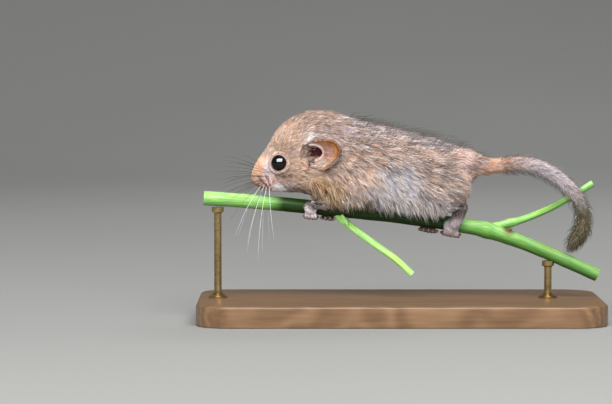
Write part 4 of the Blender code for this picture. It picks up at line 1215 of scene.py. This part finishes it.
def clumps(roots, size, seed):
    """The middle of the tuft that each root belongs to, and two numbers drawn for that tuft."""
    cell = np.floor(roots / size)
    nearest = np.full(len(roots), np.inf)
    middle = np.zeros_like(roots)
    draw = np.zeros((len(roots), 2))
    for step in itertools.product((-1, 0, 1), repeat=3):
        corner = cell + step
        drawn = np.modf(np.abs(np.sin(corner @ TUFT_DRAW + seed) * 4375.85453))[0]
        candidate = (corner + drawn[:, :3]) * size
        away = ((candidate - roots) ** 2).sum(1)
        closer = away < nearest
        nearest[closer] = away[closer]
        middle[closer] = candidate[closer]
        draw[closer] = drawn[closer, 3:]
    return middle, draw


def coat_fields(points, normals, fore, hind):
    """For each skin point: the coat's lie, length, lift and thickness, and how high up the trunk it is."""
    x, y, z = points.T
    rows = np.array(HAIR_LENGTHS).T
    spine_x, top, bottom = np.array(SPINE).T
    top, bottom = np.interp(x, spine_x, top), np.interp(x, spine_x, bottom)
    share = np.clip((z - bottom) / (top - bottom), 0, 1)
    back, flank, under = (np.interp(x, rows[0], row) for row in rows[1:])
    upper = flank + (back - flank) * (share - 0.5) * 2
    lower = under + (flank - under) * share * 2
    length = np.where(share > 0.5, upper, lower)

    # the lie: back and down on the trunk, away from the nose on the head, and along the tail and the legs
    tail = step_up(22.5, 25.5, x)
    head = step_up(-20.0, -30.0, x)
    fall = 0.08 + (1.5 - 0.85 * step_up(2.0, 12.0, x)) * (1 - share) ** 1.3
    lie = np.stack([np.ones_like(x), 0.05 * np.sign(y), -fall], 1)
    lie[:, 2] -= 0.7 * step_up(0.25, 0.0, share) * (1 - tail)
    radial = unit(points - NOSE)
    lie = unit(lie) * (1 - head)[:, None] + radial * head[:, None]
    ahead = round_axis(points, TAIL_AXIS)[2]
    lie = lie * (1 - tail)[:, None] + ahead * tail[:, None]
    for name, axis in LIMBS.items():
        cover = (fore if name.startswith("fore") else hind) * (np.sign(y) == np.sign(axis[0, 1]))
        ahead = round_axis(points, axis)[2]
        lie = lie * (1 - cover)[:, None] + ahead * cover[:, None]
    length = length * (1 - fore) + 1.3 * fore
    length = length * (1 - 0.45 * hind)
    length = length * (1 - 0.45 * step_up(8.5, 12.0, x) * step_up(37.0, 33.5, z) * (1 - tail))
    lift = np.radians(15 + 5 * (1 - head) - 3 * tail)
    thick = np.interp(length, (0.5, 1.5, 3.0, 4.5), (2.6, 1.7, 1.0, 0.95))
    for side in SIDES:
        # round the eye: none on the lids, then short and dense hairs that turn away from it
        offset, away, angle = round_eye(points, side)
        near = away < 5.5
        thick = np.where(near & (angle < LID_ANGLE - 1.0), 0.0, thick)
        ring = near * (1 - step_up(2.6, 5.0, away))
        thick = thick * (1 + 1.6 * near * (1 - step_up(2.6, 3.4, away)))
        length = length * (1 - 0.25 * ring)
        toward = ring * step_up(-0.3, 0.6, -(lie * unit(offset)).sum(1))
        lie = lie + unit(offset) * (1.6 * toward)[:, None]

        # round the ear: hairs that lie along its rim, and short ones before it
        local, turn = in_ear(points, side)
        beside = np.hypot(local[:, 0] / EAR_LONG, local[:, 1] / EAR_HIGH) * 2
        close = (1 - step_up(1.1, 1.5, beside)) * step_up(-5.0, -3.5, local[:, 2]) * (local[:, 0] < 2.0)
        upward = np.where(local[:, 1] > 0.2, 1.0, -1.0)
        round_ear = np.stack([upward * local[:, 1] / EAR_HIGH, -upward * local[:, 0] / EAR_LONG, 0 * x], 1)
        lie = lie * (1 - 0.7 * close)[:, None] + unit(round_ear) @ turn.T * (0.7 * close)[:, None]
        before = np.hypot((local[:, 0] + 6.2) / 2.0, local[:, 1] / 2.6)
        length = length * (1 - 0.45 * (1 - step_up(0.9, 1.6, before)) * close)
    mouth = hill(z - 37.0, 0, 0.28) * step_up(-34.5, -35.5, x)
    thick = thick * (1 - 0.9 * mouth)
    nose = 1 - step_up(0.9, 2.0, np.linalg.norm((points - NOSE_TIP) / NOSE_SIZE, axis=1))
    thick = thick * (1 - nose)
    lie = lie - normals * (lie * normals).sum(1)[:, None]
    return unit(lie), length, lift, thick, share


def strands(
    name, roots, out, lie, length, lift, radius, rng, axis, tuft, bright=1.0, paleness=0.0, contrast=1.0
):
    """One joined mesh of closed three-sided hairs, with their colours' places, tones and bake patches."""
    count = len(roots)

    # each hair sways and lifts a little, and bends once towards the middle of its lock
    _, draw = clumps(roots, tuft, 0.7)
    middle, shade = clumps(roots, LOCK_SIZE * tuft, 2.9)
    aside = np.cross(out, lie)
    swing = 0.55 * (draw[:, 0] - 0.5) + 0.16 * rng.standard_normal(count)
    way = lie * np.cos(swing)[:, None] + aside * np.sin(swing)[:, None]
    lift = lift * (0.75 + 0.5 * draw[:, 1]) + np.radians(6.0) * rng.standard_normal(count)
    length = length * (0.82 + 0.22 * draw[:, 1] + 0.16 * rng.standard_normal(count).clip(-1.5, 1.5))
    pull = middle - roots
    pull -= out * (pull * out).sum(1)[:, None]
    furthest = 0.45 * length / np.maximum(np.linalg.norm(pull, axis=1), 1e-6)
    gather = np.minimum(1.0, furthest)[:, None] * pull
    first = way * np.cos(lift * 1.45)[:, None] + out * np.sin(lift * 1.45)[:, None]
    second = way * np.cos(lift * 0.35)[:, None] + out * np.sin(lift * 0.35)[:, None]
    low = roots - out * 0.12
    bend = roots + first * (0.48 * length)[:, None] + gather * 0.30
    tip = bend + second * (0.52 * length)[:, None] + gather * 0.42

    # three points round the root, three round the bend and one tip
    direction = unit(tip - low)
    side = unit(np.cross(out, direction))
    upward = np.cross(direction, side)
    verts = np.empty((count, 7, 3))
    normal = np.empty((count, 7, 3))
    for k in range(3):
        turn = math.radians(90 + 120 * k)
        spoke = side * math.cos(turn) + upward * math.sin(turn)
        verts[:, k] = low + spoke * radius[:, None]
        verts[:, 3 + k] = bend + spoke * (radius * 0.72)[:, None]
        normal[:, k] = normal[:, 3 + k] = unit(out * 0.6 + spoke * 0.7)
    verts[:, 6] = tip
    normal[:, 6] = unit(out * 0.8 + direction * 0.2)
    faces = [(0, 2, 1)]
    for k in range(3):
        j = (k + 1) % 3
        faces += [(k, j, 3 + j), (k, 3 + j, 3 + k), (3 + k, 3 + j, 6)]
    index = (np.arange(count)[:, None, None] * 7 + np.array(faces)[None]).reshape(-1, 3)
    mesh = bpy.data.meshes.new(name)
    mesh.vertices.add(count * 7)
    mesh.vertices.foreach_set("co", (verts * MM).astype(np.float32).ravel())
    mesh.loops.add(index.size)
    mesh.loops.foreach_set("vertex_index", index.astype(np.int32).ravel())
    mesh.polygons.add(len(index))
    mesh.polygons.foreach_set("loop_start", np.arange(0, index.size, 3, dtype=np.int32))
    mesh.update(calc_edges=True)
    mesh.shade_smooth()

    # each hair's tone, paleness and warmth, with the fan of dark and pale lines on the whisker pad
    tone = 0.58 + 0.50 * shade[:, 0] + 0.18 * draw[:, 0] + 0.22 * rng.standard_normal(count)
    tone = np.where(shade[:, 1] < 0.17, tone * 0.5, tone).clip(0.12, 1.7)
    tone = (0.95 + (tone - 0.95) * contrast) * bright
    x, _, z = roots.T
    pad = 1 - step_up(0.75, 1.15, np.hypot((x + 38.2) / 2.7, (z - 38.7) / 2.1))
    fan = np.sin(17 * np.arctan2(z - 35.9, -(x + 35.9)))
    tone = tone * (1 - pad) + pad * (1.15 - 0.95 * step_up(-0.1, 0.7, fan))
    pale = step_up(0.78, 0.92, shade[:, 1] + 0.08 * rng.standard_normal(count))
    pale = pale * 0.75 * (bright > 0.7) * contrast
    pale = np.maximum(pale, paleness * step_up(-12.0, -3.0, x) * rng.random(count) ** 0.5)
    shades = np.stack([tone, pale, draw[:, 1] + 0.3 * rng.standard_normal(count)], 1)
    level = np.tile([0, 0, 0, 0.5, 0.5, 0.5, 1.0], count)
    shades = np.repeat(shades, 7, axis=0)
    mark(mesh, root_place=np.repeat(roots * MM, 7, axis=0), shades=shades, toward_tip=level)

    # the bake map: each hair is a small patch at its root's place on an unwrap of the skin
    along, angle, _, _ = round_axis(roots, axis)
    spot = np.stack([along, angle], 1)
    spot = 0.02 + 0.96 * (spot - spot.min(0)) / np.maximum(spot.max(0) - spot.min(0), 1e-6)
    patch = 0.003 * np.array([(-0.5, -0.5), (0, -0.5), (0.5, -0.5), (-0.5, 0), (0, 0), (0.5, 0), (0, 0.5)])
    flat = (spot[:, None, :] + patch[None]).reshape(-1, 2)
    layer = mesh.uv_layers.new(name="OFBake")
    layer.data.foreach_set("uv", flat[index.ravel()].astype(np.float32).ravel())
    mesh.normals_split_custom_set_from_vertices(normal.reshape(-1, 3))
    piece = new_object(name, mesh)
    mesh.materials.append(hair_material)
    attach(piece, "root")


hair_material, tree, shader = new_material("dormouse_hair", 0.62, Specular_IOR_Level=0.25)
root_place = stored(tree, "root_place", "Vector")
shades = node(tree, "SeparateXYZ", {0: stored(tree, "shades", "Vector")})
tone, pale, warmth = shades.outputs
# Each hair is darker towards its root: partly its own grey base, partly painted shade deep in the coat.
root_to_tip = [(0.0, (0.34, 0.32, 0.32)), (0.5, (0.95, 0.93, 0.92)), (1.0, (1.30, 1.30, 1.32))]
length_tint = ramp(tree, stored(tree, "toward_tip"), root_to_tip)
warm = ramp(tree, warmth, [(0.1, (0.94, 1.0, 1.10)), (0.9, (1.10, 0.99, 0.86))])
tint = mix(tree, pale, marked(tree, root_place), (0.79, 0.78, 0.79))
tint = times(tree, tint, warm)
tint = times(tree, tint, length_tint)
tint = vector_math(tree, "SCALE", {0: tint, "Scale": tone})
rough = rescaled(tree, tone, 0.0, 1.0, 0.52, 0.72)
feed(tree, shader, Base_Color=tint, Roughness=rough)

hide_part, _, _ = skin_part(0.0, 0.1)
hide_points, hide_normals, _ = hide_part
fore, hind = limb_cover(hide_points)
lie, length, lift, thick, height_share = coat_fields(hide_points, hide_normals, fore, hind)
inside_ear = np.zeros(len(hide_points))
for side in SIDES:
    local, _ = in_ear(hide_points, side)
    height, cup, _, _ = ear_shape(local[:, 0], local[:, 1])
    hidden = (cup < 0.95) & (local[:, 2] > height - 1.2) & (local[:, 2] < 4.0) & (local[:, 0] > -5.7)
    inside_ear = np.maximum(inside_ear, hidden)
thick = thick * (1 - inside_ear)

TAIL_START = 23.6
TRUNK_BANDS = {  # where each starts and ends, its number of hairs, size of tufts, thickness of hairs
    "face": (-99.0, -28.0, 13600, 0.5, 0.72),
    "crown": (-28.0, -17.0, 10500, 0.8, 0.85),
    "shoulder": (-17.0, -4.0, 10500, 1.0, 0.9),
    "flank": (-4.0, 9.0, 10800, 1.15, 0.95),
    "rump": (9.0, 99.0, 9200, 1.0, 0.9),
}
x, y, _ = hide_points.T
spine_axis = smooth_path([(along, 0.0, (top + bottom) / 2, 1.0) for along, top, bottom in SPINE], 60)
is_tail = x > TAIL_START
is_fore = (fore > 0.5) & (x < -12.5)
is_hind = (hind > 0.5) & (hide_points[:, 2] < 34.0)
trunk = ~is_tail & ~is_fore & ~is_hind
REGIONS = {}  # mask of skin points, number of hairs, axis, size of the tufts, thickness of the hairs
for side, s in SIDES.items():
    on_side = (y * s) >= 0
    for band, (start, end, count, tuft, stout) in TRUNK_BANDS.items():
        mask = trunk & on_side & (x >= start) & (x < end)
        REGIONS[f"{band}_{side}"] = (mask, count, spine_axis, tuft, stout)
    REGIONS["fore_leg_" + side] = (is_fore & on_side, 1200, LIMBS["fore_" + side], 0.4, 0.6)
    REGIONS["hind_leg_" + side] = (is_hind & on_side, 2300, LIMBS["hind_" + side], 0.6, 0.75)
REGIONS["tail"] = (is_tail, 10500, TAIL_AXIS, 0.6, 0.7)
is_low = (height_share < 0.24) & (x > -25.0) & (x < 12.0) & (np.abs(y) > 3.0) & (trunk | (x > -21.5))
is_back = trunk & (height_share > 0.5) & (x > -15.0)
is_crown = trunk & (height_share > 0.6) & (x > -36.0) & (x < -13.0)
REGIONS["belly_fringe"] = (is_low, 6500, spine_axis, 0.7, 0.7)
REGIONS["guard_hairs"] = (is_back, 1900, spine_axis, 0.5, 0.42)
REGIONS["crown_fuzz"] = (is_crown, 1500, spine_axis, 0.5, 0.42)
REGIONS["tail_edge"] = (is_tail & (x > 28.0), 1700, TAIL_AXIS, 0.5, 0.5)
hanging = np.stack([0.45 + 0 * x, 0.22 * np.sign(y), -1.0 + 0 * x], 1)
fringe_lie = unit(hanging - np.minimum(0, (hanging * hide_normals).sum(1))[:, None] * hide_normals)
LOOSE = {  # how much longer, how much more lifted, brightness, paleness, contrast
    "face": (0.92, -0.03, 1.0, 0.0, 0.75),
    "crown": (1.0, 0.0, 1.0, 0.0, 0.8),
    "belly_fringe": (1.25, -0.15, 0.95, 0.9, 1.6),
    "guard_hairs": (1.7, 0.38, 0.17, 0.9, 0.5),
    "crown_fuzz": (1.0, 0.26, 0.5, 0.0, 1.0),
    "tail": (1.0, 0.0, 1.1, 0.0, 0.45),
    "tail_edge": (1.5, 0.45, 0.32, 0.0, 0.6),
}
HEM = np.array(  # x, and the height that the coat's tips may hang down to, so that the stem shows
    (
        (-25.0, 32.9), (-19.0, 32.4), (-8.0, 32.0), (0.0, 31.2),
        (8.0, 30.1), (11.0, 30.3), (14.5, 31.8), (18.5, 33.2),
    )
)
NO_HEM = ("fore_leg_left", "fore_leg_right", "tail", "tail_edge")
for seed, (region, (mask, count, axis, tuft, stout)) in enumerate(REGIONS.items()):
    rng = np.random.default_rng(100 + seed)
    kind = region.removesuffix("_left").removesuffix("_right")
    longer, lifted, *look = LOOSE.get(kind, (1.0, 0.0, 1.0, 0.0, 1.0))
    roots, out, at_roots = scatter(hide_part, mask, thick, count, rng)
    hair_lie = unit(at_roots(fringe_lie if region == "belly_fringe" else lie))
    hair_length = at_roots(length) * longer
    hair_lift = at_roots(lift) + lifted
    if region not in NO_HEM:
        hem = np.interp(roots[:, 0], *HEM.T, left=-99, right=-99)
        reach = (roots[:, 2] - hem) / 0.8 + 0.4 + 2.0 * rng.random(count) ** 4
        hair_length = np.minimum(hair_length, np.maximum(reach, 0.7))
    radius = HAIR_ROOT_RADIUS * stout * (0.75 + 0.5 * rng.random(count))
    radius = radius * np.interp(hair_length, (0.5, 2.0, 4.0), (0.6, 0.85, 1.1))
    strands("coat_" + region, roots, out, hair_lie, hair_length, hair_lift, radius, rng, axis, tuft, *look)

# Down on the ears and feet: very short fine hairs on nearly bare skin, thickest behind the ear and along
# its lower edge, and sparse on the toes.
DOWN_LIFT = 0.22
bare_part, bareness, is_dark = skin_part(0.3, 1.0)
x, y, z = bare_part[0].T
is_ear = bareness < 0.7
for side in SIDES:
    on_side = y * SIDES[side] > 0
    local, turn = in_ear(bare_part[0], side)
    height, cup, pit, fold = ear_shape(local[:, 0], local[:, 1])
    behind = step_up(-0.2, -0.35, local[:, 2] - height)
    low = step_up(-0.7, -1.9, local[:, 1] + 0.1 * local[:, 0])
    edge = 0.35 * step_up(0.85, 1.0, cup)
    weight = np.maximum(np.maximum(behind, low), edge) * (1 - pit) * (1 - 0.7 * fold)
    across = np.where(low > 0.3, 0.12, 0.10 * local[:, 1])
    grown = np.stack([1.0 + 0 * low, across, 0.1 * low], 1) @ turn.T
    ear_down = ("ear", is_ear & on_side, weight, grown, 1.0 + 0.7 * low, 3400, 0.055)
    weight = 1 - np.minimum(1, 2.2 * is_dark)
    grown = np.stack([-0.3 + 0 * x, 0.1 * y, -1.0 + 0 * x], 1)
    foot_down = ("feet", ~is_ear & (z < 34) & on_side, weight, grown, 0.75 + 0 * x, 1900, 0.042)
    for place, mask, weight, grown, hair_length, count, thickness in (ear_down, foot_down):
        rng = np.random.default_rng(7)
        roots, out, at_roots = scatter(bare_part, mask, weight, count, rng)
        grown = at_roots(grown)
        hair_lie = unit(grown - out * (grown * out).sum(1)[:, None])
        hair_length = at_roots(hair_length) * (0.8 + 0.4 * rng.random(count))
        hair_lift, radius = np.full(count, DOWN_LIFT), np.full(count, thickness)
        name = f"coat_{place}_{side}"
        strands(name, roots, out, hair_lie, hair_length, hair_lift, radius, rng, spine_axis, 0.4)

# Whiskers: stiff hairs in rows on each pad beside the nose, longer than any other hair. The upper rows are
# nearly black and sweep forward, the lowest is white and hangs down, and all taper to a fine point.
WHISKER_ROWS = (  # height of the roots, 1 if pale, and each whisker's root x, length, forward, down, out
    (41.2, 0, ((-37.6, 17, 0.95, -0.34, 0.35), (-36.6, 18, 0.9, -0.42, 0.5), (-35.9, 17, 0.6, -0.35, 0.8))),
    (40.3, 0, ((-38.0, 15, 1.0, -0.10, 0.4), (-37.2, 18, 0.98, -0.18, 0.5), (-36.4, 19, 0.85, -0.08, 0.6))),
    (39.4, 0, ((-38.6, 14, 1.0, 0.08, 0.4), (-37.8, 18, 0.98, 0.12, 0.5), (-36.9, 18, 0.9, 0.22, 0.6))),
    (38.4, 0, ((-38.9, 13, 0.9, 0.30, 0.4), (-38.2, 16, 0.85, 0.45, 0.5), (-37.2, 18, 0.35, 0.6, 0.8))),
    (37.6, 1, (
        (-38.9, 14, 0.62, 0.9, 0.25), (-38.0, 16, 0.48, 1.0, 0.3),
        (-37.2, 18, 0.30, 1.0, 0.3), (-36.5, 13, 0.05, 1.0, 0.25),
    )),
)
WHISKER_RADII = (0.07, 0.068)  # of the dark ones and of the white ones
rng = np.random.default_rng(5)
bm = bmesh.new()
bm.from_mesh(skin.data)
whisker_paths = ([], [])
surface = BVHTree.FromBMesh(bm)
bm.free()
for s in SIDES.values():
    for height, pale, row in WHISKER_ROWS:
        for root_x, reach, forward, down, outward in row:
            beside = Vector((root_x, s * 6.0, height)) * MM
            start = np.array(surface.ray_cast(beside, Vector((0, -s, 0)))[0]) / MM
            way = unit(np.array([-forward, s * outward, -down]) + 0.06 * rng.standard_normal(3))
            reach = reach * (0.9 + 0.2 * rng.random())
            path = []
            for k in range(12):
                t = k / 11
                sag = np.array([0.10 * reach * t * t, -s * 0.08 * reach * t * t, -0.16 * reach * t * t])
                point = start - way * 0.3 + way * reach * t + sag
                path.append((*point, WHISKER_RADII[pale] * (1 - 0.88 * t) ** 0.8))
            whisker_paths[pale].append(path)
for pale, name, stops in (
    (1, "whiskers_white", [(0.3, (0.80, 0.82, 0.86)), (0.7, (0.92, 0.93, 0.95))]),
    (0, "whiskers_dark", [(0.3, (0.035, 0.028, 0.025)), (0.7, (0.09, 0.07, 0.06))]),
):
    whiskers = tubes(name, whisker_paths[pale], 6)
    material, tree, shader = new_material(name, 0.35)
    place = object_place(tree)
    feed(tree, shader, Base_Color=ramp(tree, noise(tree, place, 500.0), stops))
    whiskers.data.materials.append(material)
    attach(whiskers, "root")
